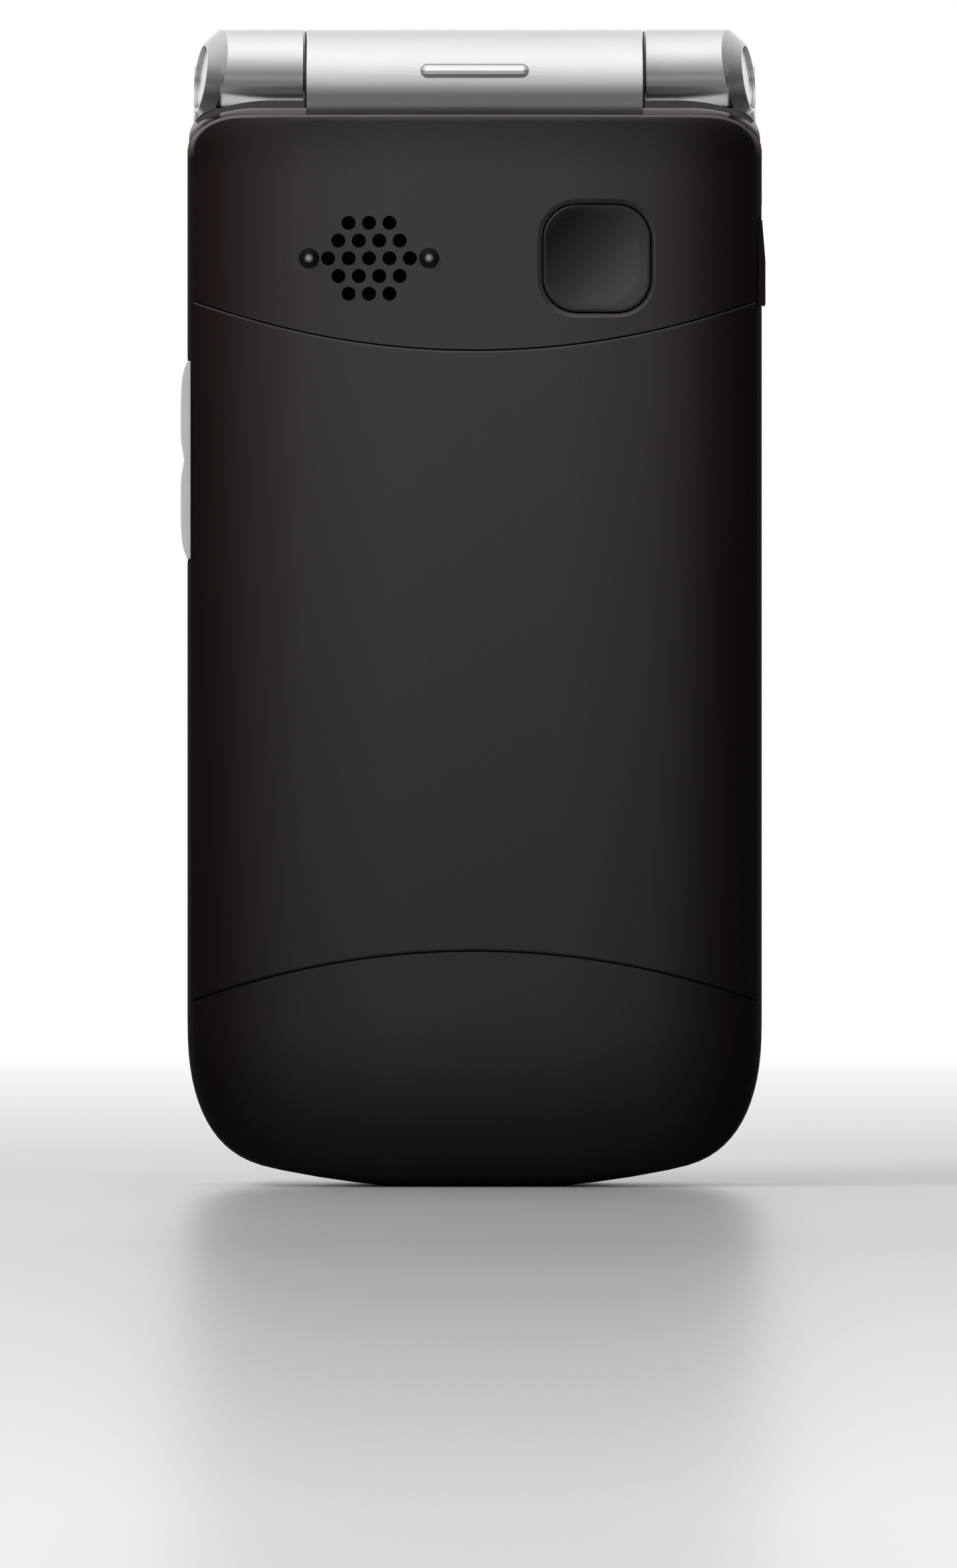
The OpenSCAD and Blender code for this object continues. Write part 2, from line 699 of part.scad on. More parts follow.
// Navigation key, rocking on two tabs, with the OK key's hole in its middle
module key_nav() color("#b9bbbe") {
    difference() {
        plate(0, nav_z, nav_w, nav_w, nav_r, y_key_back + nav_low, y_base - nav_sink);
        plate(0, nav_z, ok_w + 2 * key_gap, ok_w + 2 * key_gap, ok_r + key_gap,
            y_key_back - cut, y_base + cut);
    }
    both_sides() box([nav_w / 2 - cut, y_key_back + seat_gap, nav_z - nav_tab_h / 2],
        [nav_w / 2 + nav_tab, y_flange, nav_z + nav_tab_h / 2]);
}

// OK key on the keymat
module key_ok() color("#3a3b3f") plate(0, nav_z, ok_w, ok_w, ok_r, y_key_back, y_base);

// Silicone keymat under the keys
keymat_low = key_row - key_h / 2 - 1;
keymat_high = nav_z + nav_w / 2 + 1;
keymat_w = 2 * (key_pitch_x + key_w / 2) - 3.4;
module keymat() color("#d8d5cc")
    plate(0, (keymat_low + keymat_high) / 2, keymat_w, keymat_high - keymat_low, 3, y_board, y_mat);

// Main circuit board
module main_board() color("#1f5a3a") difference() {
    along_y(y_board_back, y_board - seat_gap) polygon(outline(board_inset, board_top));
    at_base_screws() rod_y(y_board_back - cut, y_board + cut, 0, 0, boss_r + 4 * boss_gap);
    rod_y(y_board_back - cut, y_board + cut, 0, mic_z, mic_hole);
}

// Battery in its bay
battery_z0 = bay_z0 + bay_gap;
battery_l = bay_z1 - card_room - battery_z0;
y_battery = back_y(battery_w / 2) + cover_t + 0.2;
module battery() color("#4b4f57")
    plate(0, battery_z0 + battery_l / 2, battery_w, battery_l, 1.2, y_battery, y_bay - boss_gap);

// Spring contacts at the battery's upper end
contacts_z = battery_z0 + battery_l + 0.2;
contacts_w = 9;
contacts_x = battery_w * 9 / 34;
contacts_h = 3.6;
contacts_t = 3;
module battery_contacts() color("#c9a24a") {
    box([contacts_x - contacts_w / 2, y_bay - contacts_t, contacts_z],
        [contacts_x + contacts_w / 2, y_bay - seat_gap, contacts_z + contacts_h]);
    for (k = [-1 : 1]) box([contacts_x + 2.5 * k - 0.6, y_bay - contacts_t - 0.3, contacts_z + 0.4],
        [contacts_x + 2.5 * k + 0.6, y_bay - contacts_t + 0.2, contacts_z + contacts_h - 0.4]);
}

// Card socket beside the contacts
sim_w = 15.6;
sim_x = -battery_w * 7 / 34;
sim_h = 9;
sim_t = 1.4;
module sim_socket() color("#b8bcc0") difference() {
    plate(sim_x, contacts_z + sim_h / 2, sim_w, sim_h, 0.6, y_bay - sim_t, y_bay - seat_gap);
    box([sim_x - sim_w / 2 + 1, y_bay - sim_t + 0.3, contacts_z - cut],
        [sim_x + sim_w / 2 - 1, y_bay - 0.3, contacts_z + sim_h - 1]);
}

// Loudspeaker behind its mesh and the grille
speaker_margin = 9;
speaker_w = 2 * (half_w - speaker_margin + grille_x);
speaker_h = 11;
speaker_t = 3.2;
speaker_r = 4;
mesh_t = 0.2;
mesh_margin = 1.6;
y_mesh = back_y(grille_x - 2.5 * hole_pitch) + back_wall + 0.15;
y_speaker = y_mesh + mesh_t;
module speaker_mesh() color("#111111") plate(grille_x, feature_z,
    4 * hole_pitch + hole_d + mesh_margin, 4 * hole_pitch + hole_d, 2, y_mesh, y_mesh + mesh_t);
module loudspeaker() color("#3c3d40") {
    difference() {
        plate(grille_x, feature_z, speaker_w, speaker_h, speaker_r, y_speaker, y_speaker + speaker_t);
        plate(grille_x, feature_z, speaker_w - 2, speaker_h - 2, speaker_r - 1, y_mesh, y_speaker + 0.6);
    }
    rod_y(y_speaker + 0.2, y_speaker + 1, grille_x, feature_z, 3);
}

// Domes either side of the grille, each with a peg in the wall
module rest_nubs() color("#2b2726") for (x = nub_places) {
    dome_r = (pow(nub_d / 2, 2) + nub_h * nub_h) / (2 * nub_h);
    intersection() {
        translate([x, back_y(x) - nub_h + dome_r, feature_z]) sphere(r = dome_r);
        rod_y(back_y(x) - cut, back_y(x) + nub_sink, x, feature_z, nub_d / 2);
    }
    rod_y(back_y(x) - nub_h / 2, back_y(x) + nub_sink + nub_peg, x, feature_z, nub_peg_r);
}

// Emergency key with a dished face, a flange inside the wall and a stem over its switch
module emergency_key() color("#2a2625") {
    dish_reach = sos_w / 2 - sos_rim;
    dish_r = (pow(dish_reach, 2) + pow(sos_dish, 2)) / (2 * sos_dish);
    difference() {
        intersection() {
            sos_prism(0, y_back - cut, y_sos_flange);
            back_form(sos_sink, y_part, 6);
        }
        translate([sos_x, back_y(sos_x) + sos_sink + sos_dish - dish_r, feature_z])
            sphere(r = dish_r, $fn = 96);
    }
    sos_prism(sos_lip, y_sos_flange, y_sos_back);
    rod_y(y_sos_back, y_sos_back + sos_stem, sos_x, feature_z, sos_stem_r);
}

// Switch under the emergency key
module emergency_switch() color("#8d9095") {
    y_button = y_sos_back + sos_stem + sos_travel + 2 * seat_gap;
    plate(sos_x, feature_z, sos_switch_w, sos_switch_w, 0.6, y_button + 0.6, y_board_back - seat_gap);
    rod_y(y_button, y_button + 0.6, sos_x, feature_z, sos_stem_r);
}

// How far the rocker stands out of the side, s from -1 to 1 along it
function rocker_out(s) = rocker_proud * (1 - pow(s, 8)) - rocker_waist * exp(-pow(s / 0.12, 2));

// Volume rocker: two pads with a waist between them, and a flange inside the wall
module volume_rocker() color("#cfd1d3") {
    y0 = y_port - rocker_w / 2;
    y1 = y_port + rocker_w / 2;
    steps = 24;
    l = rocker_l / 2;
    pads = [for (i = [0 : steps]) let (s = 2 * i / steps - 1) [-half_w - rocker_out(s), rocker_z + s * l]];
    along_y(y0, y1) polygon(concat(pads, [[-rocker_in, rocker_z + l], [-rocker_in, rocker_z - l]]));
    box([-rocker_in, y0 + 0.2, rocker_z - l - rocker_lip],
        [-rocker_in + rocker_flange, y1 - 0.2, rocker_z + l + rocker_lip]);
}

// Two side switches behind the rocker
module volume_switches() color("#8d9095") for (side = [-1, 1]) {
    z = rocker_z + side * rocker_l / 3;
    box([side_switch_x, y_port - 0.7, z - side_switch_l / 2],
        [side_switch_x + side_switch_t, y_board_back - seat_gap, z + side_switch_l / 2]);
}

// Port flap, hinged at its upper end, with a plug that enters the socket's mouth
module port_flap() color("#242120") difference() {
    union() {
        along_y(y_port - flap_w / 2, y_port + flap_w / 2) flap_plate(0);
        along_y(y_port - flap_barrel_w / 2, y_port + flap_barrel_w / 2) flap_arm(0);
        box([flap_x - 0.7, y_port - 0.7, feature_z - 2.7], [flap_x + 0.2, y_port + 0.7, feature_z + 2.7]);
    }
    rod_y(y_port - flap_w, y_port + flap_w, pivot_x, pivot_z, pin_r + run_fit);
}

// Pin of the flap
module flap_pin() color("#b8bcc0")
    rod_y(y_port - pin_l / 2 + seat_gap, y_port + pin_l / 2 - seat_gap, pivot_x, pivot_z, pin_r);

// Charging socket, open to the right, with its contact tongue
module usb_socket() color("#c3c6ca") {
    shell = 0.3;
    difference() {
        box([usb_x - usb_l, y_port - usb_h / 2, feature_z - usb_w / 2],
            [usb_x, y_port + usb_h / 2 - seat_gap, feature_z + usb_w / 2]);
        box([usb_x - usb_l + shell, y_port - usb_h / 2 + shell, feature_z - usb_w / 2 + shell],
            [usb_x + cut, y_port + usb_h / 2 - seat_gap - shell, feature_z + usb_w / 2 - shell]);
    }
    box([usb_x - usb_l, y_port + 0.1, feature_z - usb_w / 2 + 1.4],
        [usb_x - 1.2, y_port + 0.6, feature_z + usb_w / 2 - 1.4]);
}

// Vibration motor, microphone and antenna in the lower end
motor_r = 4;
motor_t = 2.6;
motor_x = 15 - half_w;
motor_z = 10.5;
mic_r = 2;
mic_t = 1.4;
antenna_gap = 1.5;
antenna_margin = 7.5;
antenna_w = half_w - antenna_margin - mic_r - antenna_gap;
antenna_h = 9;
antenna_t = 3;
antenna_rim = 1.5;
antenna_x = half_w - antenna_margin - antenna_w / 2;
antenna_z = 9.5;
module vibration_motor() color("#a9adb2")
    rod_y(y_board_back - motor_t, y_board_back - seat_gap, motor_x, motor_z, motor_r);
module microphone() color("#b59b5b")
    rod_y(y_board_back - mic_t, y_board_back - seat_gap, 0, mic_z + mic_hole, mic_r);
module antenna() color("#b87333") difference() {
    plate(antenna_x, antenna_z, antenna_w, antenna_h, antenna_rim,
        y_board_back - antenna_t, y_board_back - seat_gap);
    plate(antenna_x, antenna_z, antenna_w - 2 * antenna_rim, antenna_h - 2 * antenna_rim, antenna_rim / 2,
        y_board_back - cut, y_board_back + cut);
}

// Screws that join the rear housing to the front case, under the battery cover
module base_screws() color("#8f9398") at_base_screws() {
    difference() {
        rod_y(y_screw - screw_head_h, y_screw, 0, 0, screw_head_r);
        for (turn = [0, 90]) translate([0, y_screw - screw_head_h, 0]) rotate([0, turn, 0])
            cube([1.5, 0.6, 0.3], center = true);
    }
    rod_y(y_screw - screw_head_h / 2, y_plate - 0.6, 0, 0, screw_r);
}

// Indicator light guide, flush with the barrel
module indicator_lens() color("#e9edf0") intersection() {
    pill(0, y_back, y_pill - seat_gap);
    along_x(-barrel_x, barrel_x) polygon(barrel_drawing);
}

// Spring cartridge of the hinge in the barrel's left end
cartridge_end = -2;
module hinge_cartridge() color("#9a9ea3") difference() {
    rod_x(-barrel_x + seat_gap, cartridge_end, hinge_y, hinge_z, bore_r - run_fit);
    rod_x(-barrel_x - cut, -barrel_x + shaft_reach + 2 * seat_gap, hinge_y, hinge_z, shaft_d / 2 + run_fit);
}

// Bush for the pivot sleeve in the barrel's right end
module hinge_bush() color("#e4e2da") difference() {
    rod_x(barrel_x - sleeve_reach, barrel_x - seat_gap, hinge_y, hinge_z, bore_r - run_fit);
    rod_x(0, far, hinge_y, hinge_z, sleeve_d / 2 + run_fit);
}

// Flexible lead: a connector on the board, a tail into the barrel and its roll there
module hinge_flex() color("#c8791e") {
    difference() {
        rod_x(flex_x0, flex_x1, hinge_y, hinge_z, flex_r);
        rod_x(flex_x0 - cut, flex_x1 + cut, hinge_y, hinge_z, flex_r - 2 * flex_t);
    }
    box([flex_x0, flex_y, board_top - 4], [flex_x1, flex_y + flex_t, hinge_z]);
    box([flex_x0, y_board, board_top - 5], [flex_x1, flex_y + flex_t, board_top - 2]);
}

// Lid: heights and layers
flip_hw = half_w - flip_inset;
flip_top = body_l - 0.6;
flip_corner_w = 1.6;
flip_corner_h = 3;
flip_front = 1.3;
y_flip_in = y_outer - flip_front;
flip_room_top = hinge_z - knuckle_r - run_gap - flip_wall;
flip_mid = flip_top / 2;
shoulder_z = flip_room_top - 3;
panel_w = 2 * (flip_hw - panel_margin);
panel_l = flip_top - panel_drop - panel_low;
panel_z = panel_low + panel_l / 2;
panel_proud = 0.1;
flip_screw_x = half_w - 5.6;
flip_screw_lo = 13;
flip_screw_hi = flip_room_top - 6;
flip_screw_r = 0.7;
flip_boss_r = 1.9;
y_inner = y_flip + inner_t;
y_display = y_inner + 0.1;
y_flip_board = y_display + display_t + 0.15;
flip_board_t = 0.8;
window_w = 26;
window_h = 28;
window_z = flip_top - 35.4;
outer_display_t = 1.3;
flip_board_margin = 7.7;
flip_board_low = 17;
flip_board_drop = 11.8;
flip_board_l = flip_room_top - flip_board_drop - flip_board_low;
lens_w = 2 * (flip_hw - lens_margin);
lens_l = flip_room_top - lens_drop - lens_low;
lens_z = lens_low + lens_l / 2;
lens_frame = 1.8;
earpiece_z = 12;
earpiece_w = 12;
earpiece_h = 6;
earpiece_t = 2.3;
magnet_r = 2;
magnet_t = 1.3;
magnet_x = flip_hw - 11.7;
magnet_z = 8;
module at_flip_screws() both_sides() for (z = [flip_screw_lo, flip_screw_hi])
    translate([flip_screw_x, 0, z]) children();

// Silver lid case with the two outer knuckles
module flip_outer_case() color("#c4c6c8") difference() {
    union() {
        difference() {
            union() {
                pillow(half_outline(flip_hw, 0, flip_top, flip_corner_w, flip_corner_h), flip_hw, flip_mid,
                    y_flip, y_outer - flip_edge, y_outer,
                    [flip_edge_w, flip_edge_w + 1, flip_edge_w], 0, 6, 4);
                both_sides() shoulder();
            }
            along_y(y_flip - cut, y_flip_in) polygon(outline(flip_inset + flip_wall, flip_room_top));
        }
        at_flip_screws() rod_y(y_inner + seat_gap, y_flip_in + seat_gap, 0, 0, flip_boss_r);
    }
    rod_x(-knuckle_x, knuckle_x, hinge_y, hinge_z, knuckle_r + run_gap);
    rod_x(-knuckle_x - shaft_hold, 0, hinge_y, hinge_z, shaft_d / 2 + run_fit);
    rod_x(0, knuckle_x + shaft_hold, hinge_y, hinge_z, sleeve_d / 2 + run_fit);
    both_sides() at_knuckle_end() translate([0, 0, -cap_sink - cap_t])
        cylinder(r = cap_d / 2 + 2 * seat_gap, h = far);
    plate(0, panel_z, panel_w + 0.2, panel_l + 0.2, 4.1, y_outer - panel_t, y_outer + cut);
    plate(0, window_z, window_w, window_h, 1, y_flip_in - cut, y_outer);
    at_flip_screws() rod_y(y_inner - cut, y_flip_in, 0, 0, flip_screw_r + 0.02);
}

// Place and direction of the right knuckle's slanted end
module at_knuckle_end() translate([cap_x, hinge_y, hinge_z])
    rotate([0, 0, -end_turn]) rotate([0, 90 - end_lean, 0]) children();

// Cone that bevels the right knuckle round its slanted end
module knuckle_bevel() at_knuckle_end() translate([0, 0, -bevel_reach]) cylinder(
    r1 = cap_d / 2 + cap_rim + bevel_reach / tan(bevel_slope), r2 = cap_d / 2 + cap_rim, h = bevel_reach);

// Right knuckle, cut by its slanted end, and the shoulder that joins it to the lid
module shoulder() intersection() {
    union() {
        intersection() {
            rod_x(knuckle_x, knuckle_end, hinge_y, hinge_z, knuckle_r);
            knuckle_bevel();
        }
        along_x(knuckle_x, knuckle_end) polygon(shoulder_drawing);
    }
    difference() {
        linear_extrude(far) polygon(concat(
            [[0, y_outer], [0, -far], [flip_hw, -far]],
            arc(flip_hw - flip_edge_w, y_outer - flip_edge, flip_edge_w, flip_edge, 0, 90, 8)));
        at_knuckle_end() translate([-far, -far, 0]) cube(2 * far);
    }
}

// The shoulder runs from the lid's face to just inside the knuckle's tangent point
shoulder_face = [y_outer - 0.5, shoulder_z];
shoulder_span = shoulder_face - [hinge_y, hinge_z];
shoulder_angle = atan2(shoulder_span[1], shoulder_span[0]) + acos(knuckle_r / norm(shoulder_span));
shoulder_drawing = [
    [y_flip, shoulder_z], shoulder_face,
    [hinge_y + 0.995 * knuckle_r * cos(shoulder_angle), hinge_z + 0.995 * knuckle_r * sin(shoulder_angle)],
    [hinge_y, hinge_z], [y_flip, hinge_z]];

// Gloss panel on the lid's front
module front_panel() color("#101114")
    plate(0, panel_z, panel_w, panel_l, 4, y_outer - panel_t + seat_gap, y_outer + panel_proud);

// Small display behind the panel's window
module outer_display() color("#2c3238") plate(0, window_z, window_w + 4, window_h + 5, 0.8,
    y_flip_in - seat_gap - outer_display_t, y_flip_in - seat_gap);

// Lid's circuit board
module flip_board() color("#1f5a3a")
    plate(0, flip_board_low + flip_board_l / 2, 2 * (flip_hw - flip_board_margin), flip_board_l, 1,
        y_flip_board, y_flip_board + flip_board_t);

// Main display
module main_display() color("#30353b")
    plate(0, lens_z, lens_w - 2, lens_l - 2, 0.8, y_display, y_display + display_t);

// Lens over the main display
module display_lens() color("#15171a") plate(0, lens_z, lens_w, lens_l, 1.5, y_flip, y_flip + lens_t);

// Lid's inner case with the display opening, the earpiece slot and the screw holes
inner_gap = 0.1;
slot_w = 9;
slot_h = 1.2;
flip_head_r = 1.4;
flip_head_h = 0.6;
module flip_inner_case() color("#232427") difference() {
    along_y(y_flip, y_inner) polygon(outline(flip_inset + flip_wall + inner_gap, flip_room_top - inner_gap));
    plate(0, lens_z, lens_w + 2 * seat_gap, lens_l + 2 * seat_gap, 1.55,
        y_flip - cut, y_flip + lens_t + seat_gap);
    plate(0, lens_z, lens_w - 2 * lens_frame, lens_l - 2 * lens_frame, 1, y_flip, y_inner + cut);
    plate(0, earpiece_z, slot_w, slot_h, slot_h / 2, y_flip - cut, y_inner + cut);
    at_flip_screws() {
        rod_y(y_flip - cut, y_flip + flip_head_h + 2 * seat_gap, 0, 0, flip_head_r + 2 * seat_gap);
        rod_y(y_flip, y_inner + cut, 0, 0, flip_screw_r + 2 * seat_gap);
    }
}

// Earpiece behind its slot
module earpiece() color("#55585d")
    plate(0, earpiece_z, earpiece_w, earpiece_h, 2.5, y_inner + seat_gap, y_inner + seat_gap + earpiece_t);

// Magnet that tells the phone it is shut
module magnet() color("#8a8d92")
    rod_y(y_inner + seat_gap, y_inner + seat_gap + magnet_t, magnet_x, magnet_z, magnet_r);

// Rubber bumpers on the lid's free end
bumper_x = flip_hw - 9.2;
bumper_z = 6.5;
bumper_w = 4;
bumper_h = 1.6;
module bumpers() color("#1a1a1a") both_sides()
    plate(bumper_x, bumper_z, bumper_w, bumper_h, bumper_h / 2, y_base + seat_gap, y_flip);

// Screws that join the lid's cases
module flip_screws() color("#8f9398") at_flip_screws() {
    difference() {
        rod_y(y_flip + seat_gap, y_flip + seat_gap + flip_head_h, 0, 0, flip_head_r);
        for (turn = [0, 90]) translate([0, y_flip + seat_gap, 0]) rotate([0, turn, 0])
            cube([1.5, 0.6, 0.3], center = true);
    }
    rod_y(y_flip + flip_head_h / 2 + 0.2, y_flip_in - 1, 0, 0, flip_screw_r);
}

// Drive shaft, held in the left knuckle and turning in the cartridge
module hinge_shaft() color("#7f8388")
    rod_x(-knuckle_x - shaft_hold + seat_gap, -barrel_x + shaft_reach, hinge_y, hinge_z, shaft_d / 2);

// Hollow pivot, held in the right knuckle and turning in the bush
module pivot_sleeve() color("#7f8388") difference() {
    rod_x(barrel_x - sleeve_reach, knuckle_x + shaft_hold - seat_gap, hinge_y, hinge_z, sleeve_d / 2);
    rod_x(0, far, hinge_y, hinge_z, sleeve_bore / 2);
}

// Discs in the knuckle ends
module hinge_end_caps() color("#d6d8da") both_sides() at_knuckle_end()
    translate([0, 0, seat_gap - cap_sink - cap_t]) cylinder(r = cap_d / 2, h = cap_t - seat_gap);

base_rear_housing();
battery_cover();
base_front_case();
keypad_fascia();
keymat();
main_board();
battery();
battery_contacts();
sim_socket();
loudspeaker();
speaker_mesh();
rest_nubs();
emergency_key();
emergency_switch();
volume_rocker();
volume_switches();
port_flap();
flap_pin();
usb_socket();
vibration_motor();
microphone();
antenna();
base_screws();
indicator_lens();
hinge_cartridge();
hinge_bush();
hinge_flex();
flip_outer_case();
front_panel();
outer_display();
flip_board();
main_display();
display_lens();
flip_inner_case();
earpiece();
magnet();
bumpers();
flip_screws();
hinge_shaft();
pivot_sleeve();
hinge_end_caps();
flanged_key(number_keys[0]);  // key_1
flanged_key(number_keys[1]);  // key_2
flanged_key(number_keys[2]);  // key_3
flanged_key(number_keys[3]);  // key_4
flanged_key(number_keys[4]);  // key_5
flanged_key(number_keys[5]);  // key_6
flanged_key(number_keys[6]);  // key_7
flanged_key(number_keys[7]);  // key_8
flanged_key(number_keys[8]);  // key_9
flanged_key(number_keys[9]);  // key_star
flanged_key(number_keys[10]);  // key_0
flanged_key(number_keys[11]);  // key_hash
flanged_key(side_keys[0]);  // key_soft_left
flanged_key(side_keys[1]);  // key_soft_right
flanged_key(side_keys[2]);  // key_call
flanged_key(side_keys[3]);  // key_end
key_nav();
key_ok();
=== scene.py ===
# Looks of the clamshell phone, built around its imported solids. Lengths are written in millimetres.
import json
import math

import bmesh
import bpy
import numpy as np
from mathutils import Matrix, Vector

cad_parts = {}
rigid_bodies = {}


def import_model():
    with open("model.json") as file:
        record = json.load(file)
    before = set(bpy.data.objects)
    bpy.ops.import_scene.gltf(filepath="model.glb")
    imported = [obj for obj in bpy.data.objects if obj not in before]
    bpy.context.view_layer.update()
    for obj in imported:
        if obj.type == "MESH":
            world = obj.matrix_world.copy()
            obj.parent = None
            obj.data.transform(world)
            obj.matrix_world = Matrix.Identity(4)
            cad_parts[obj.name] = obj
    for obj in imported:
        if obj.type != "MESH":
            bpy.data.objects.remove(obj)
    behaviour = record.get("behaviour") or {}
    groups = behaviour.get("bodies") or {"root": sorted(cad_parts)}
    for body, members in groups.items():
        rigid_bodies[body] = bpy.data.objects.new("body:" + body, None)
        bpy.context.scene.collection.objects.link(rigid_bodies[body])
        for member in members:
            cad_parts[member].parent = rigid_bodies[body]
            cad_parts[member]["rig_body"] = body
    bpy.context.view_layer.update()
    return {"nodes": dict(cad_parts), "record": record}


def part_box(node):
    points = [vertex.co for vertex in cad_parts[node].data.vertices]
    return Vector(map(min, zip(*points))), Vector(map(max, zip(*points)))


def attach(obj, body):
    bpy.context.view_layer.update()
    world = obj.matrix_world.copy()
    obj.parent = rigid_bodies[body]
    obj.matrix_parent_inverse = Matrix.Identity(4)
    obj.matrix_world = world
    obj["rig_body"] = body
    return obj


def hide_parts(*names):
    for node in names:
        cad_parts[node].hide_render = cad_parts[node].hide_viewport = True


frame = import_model()
nodes = frame["nodes"]
slot_of = {s["node"]: s["material_slot"] for s in frame["record"]["subparts"]}
MM = 0.001

# Sizes shared with the solids
HALF_W = 26.0
FOOT_W = 15.0
BOTTOM_R = 86.0
CORNER_W, CORNER_H = 8.5, 11.5
TOP_W, TOP_H = 4.6, 3.2
REAR_L = 96.9
MID_Z = REAR_L / 2
Y_BACK, Y_EDGE = -9.5, -3.3
EDGE_W, END_ROUND, TOP_ROUND = 8.0, 16.0, 0.8
CROWN = 1.2
COVER_T, COVER_GAP, Y_COVER = 1.1, 0.12, -5.1
SEAM_R, SEAM_HI, SEAM_LO = 73.0, 75.5, 21.3
FEATURE_Z = 83.7
SOS_X, SOS_W, SOS_R, SOS_GAP = 11.0, 9.6, 3.0, 0.15
SOS_SINK, SOS_DISH, SOS_RIM = 0.05, 0.9, 0.25
GROOVE_W, GROOVE_DEPTH = 0.4, 0.35
GRILLE_X, NUB_REACH, NUB_TIP = -9.5, 5.41, 0.42
HINGE_Y, HINGE_Z, KNUCKLE_R = 1.7, 100.7, 4.3
BARREL_L, KNUCKLE_GAP = 30.4, 0.35
BARREL_R, BARREL_Z = 6.4, 98.6
PILL_L, PILL_H, PILL_RISE = 9.7, 1.15, 0.2
BAND_INSET = 0.15

# Settings used in several places. The weld distance is in metres
WELD = 2e-6
SMOOTH_ANGLE = math.radians(32)
SLOPE_STEP = 0.01
HALVINGS = 40
INK_HALF = 0.012
COAT_ROUGHNESS = 0.08
DRIFT = 260.0


# Camera, straight on to the back of the phone
def make_camera():
    data = bpy.data.cameras.new("camera")
    camera = bpy.data.objects.new("camera", data)
    bpy.context.scene.collection.objects.link(camera)
    distance = 1000.0
    view_height = 142.1
    data.sensor_width = 36.0
    data.lens = data.sensor_width / view_height * distance
    data.clip_start, data.clip_end = 0.01, 100.0
    camera.location = Vector((0.35, -2.0 - distance, 36.4)) * MM
    camera.rotation_euler = (math.pi / 2, 0, 0)
    bpy.context.scene.camera = camera


make_camera()


# Node helpers
def new_material(name):
    mat = bpy.data.materials.new(name)
    mat.use_nodes = True
    tree = mat.node_tree
    return mat, tree, tree.nodes["Principled BSDF"]


def add(tree, kind, **values):
    node = tree.nodes.new(kind)
    for key, value in values.items():
        setattr(node, key, value)
    return node


def noise(tree, scale, detail=3.0, stretch=None):
    coord = add(tree, "ShaderNodeTexCoord")
    tex = add(tree, "ShaderNodeTexNoise")
    tex.inputs["Scale"].default_value = scale
    tex.inputs["Detail"].default_value = detail
    if stretch:
        mapping = add(tree, "ShaderNodeMapping")
        mapping.inputs["Scale"].default_value = stretch
        tree.links.new(coord.outputs["Object"], mapping.inputs["Vector"])
        tree.links.new(mapping.outputs["Vector"], tex.inputs["Vector"])
    else:
        tree.links.new(coord.outputs["Object"], tex.inputs["Vector"])
    return tex.outputs["Fac"]


def ramp(tree, value, low, high, start=0.3, end=0.7):
    node = add(tree, "ShaderNodeMapRange")
    node.inputs["From Min"].default_value = start
    node.inputs["From Max"].default_value = end
    node.inputs["To Min"].default_value = low
    node.inputs["To Max"].default_value = high
    tree.links.new(value, node.inputs["Value"])
    return node.outputs["Result"]


def colours(tree, value, low, high, start=0.3, end=0.7):
    node = add(tree, "ShaderNodeValToRGB")
    node.color_ramp.elements[0].position = start
    node.color_ramp.elements[1].position = end
    node.color_ramp.elements[0].color = (*low, 1)
    node.color_ramp.elements[1].color = (*high, 1)
    tree.links.new(value, node.inputs["Fac"])
    return node.outputs["Color"]


def bump(tree, shader, height, depth_mm, strength=1.0):
    node = add(tree, "ShaderNodeBump")
    node.inputs["Strength"].default_value = strength
    node.inputs["Distance"].default_value = depth_mm * MM
    tree.links.new(height, node.inputs["Height"])
    tree.links.new(node.outputs["Normal"], shader.inputs["Normal"])


def surface(name, low, high, rough, metallic=0.0, specular=0.5, grain=4000.0,
            depth=0.004, coat=0.0, stretch=None):
    """A finish whose colour drifts slowly, and whose roughness and height follow a fine grain."""
    mat, tree, shader = new_material(name)
    slow = noise(tree, DRIFT, 4.0)
    fine = noise(tree, grain, 4.0, stretch)
    tree.links.new(colours(tree, slow, low, high), shader.inputs["Base Color"])
    tree.links.new(ramp(tree, fine, rough[0], rough[1]), shader.inputs["Roughness"])
    shader.inputs["Metallic"].default_value = metallic
    shader.inputs["Specular IOR Level"].default_value = specular
    shader.inputs["Coat Weight"].default_value = coat
    shader.inputs["Coat Roughness"].default_value = COAT_ROUGHNESS
    bump(tree, shader, fine, depth)
    return mat


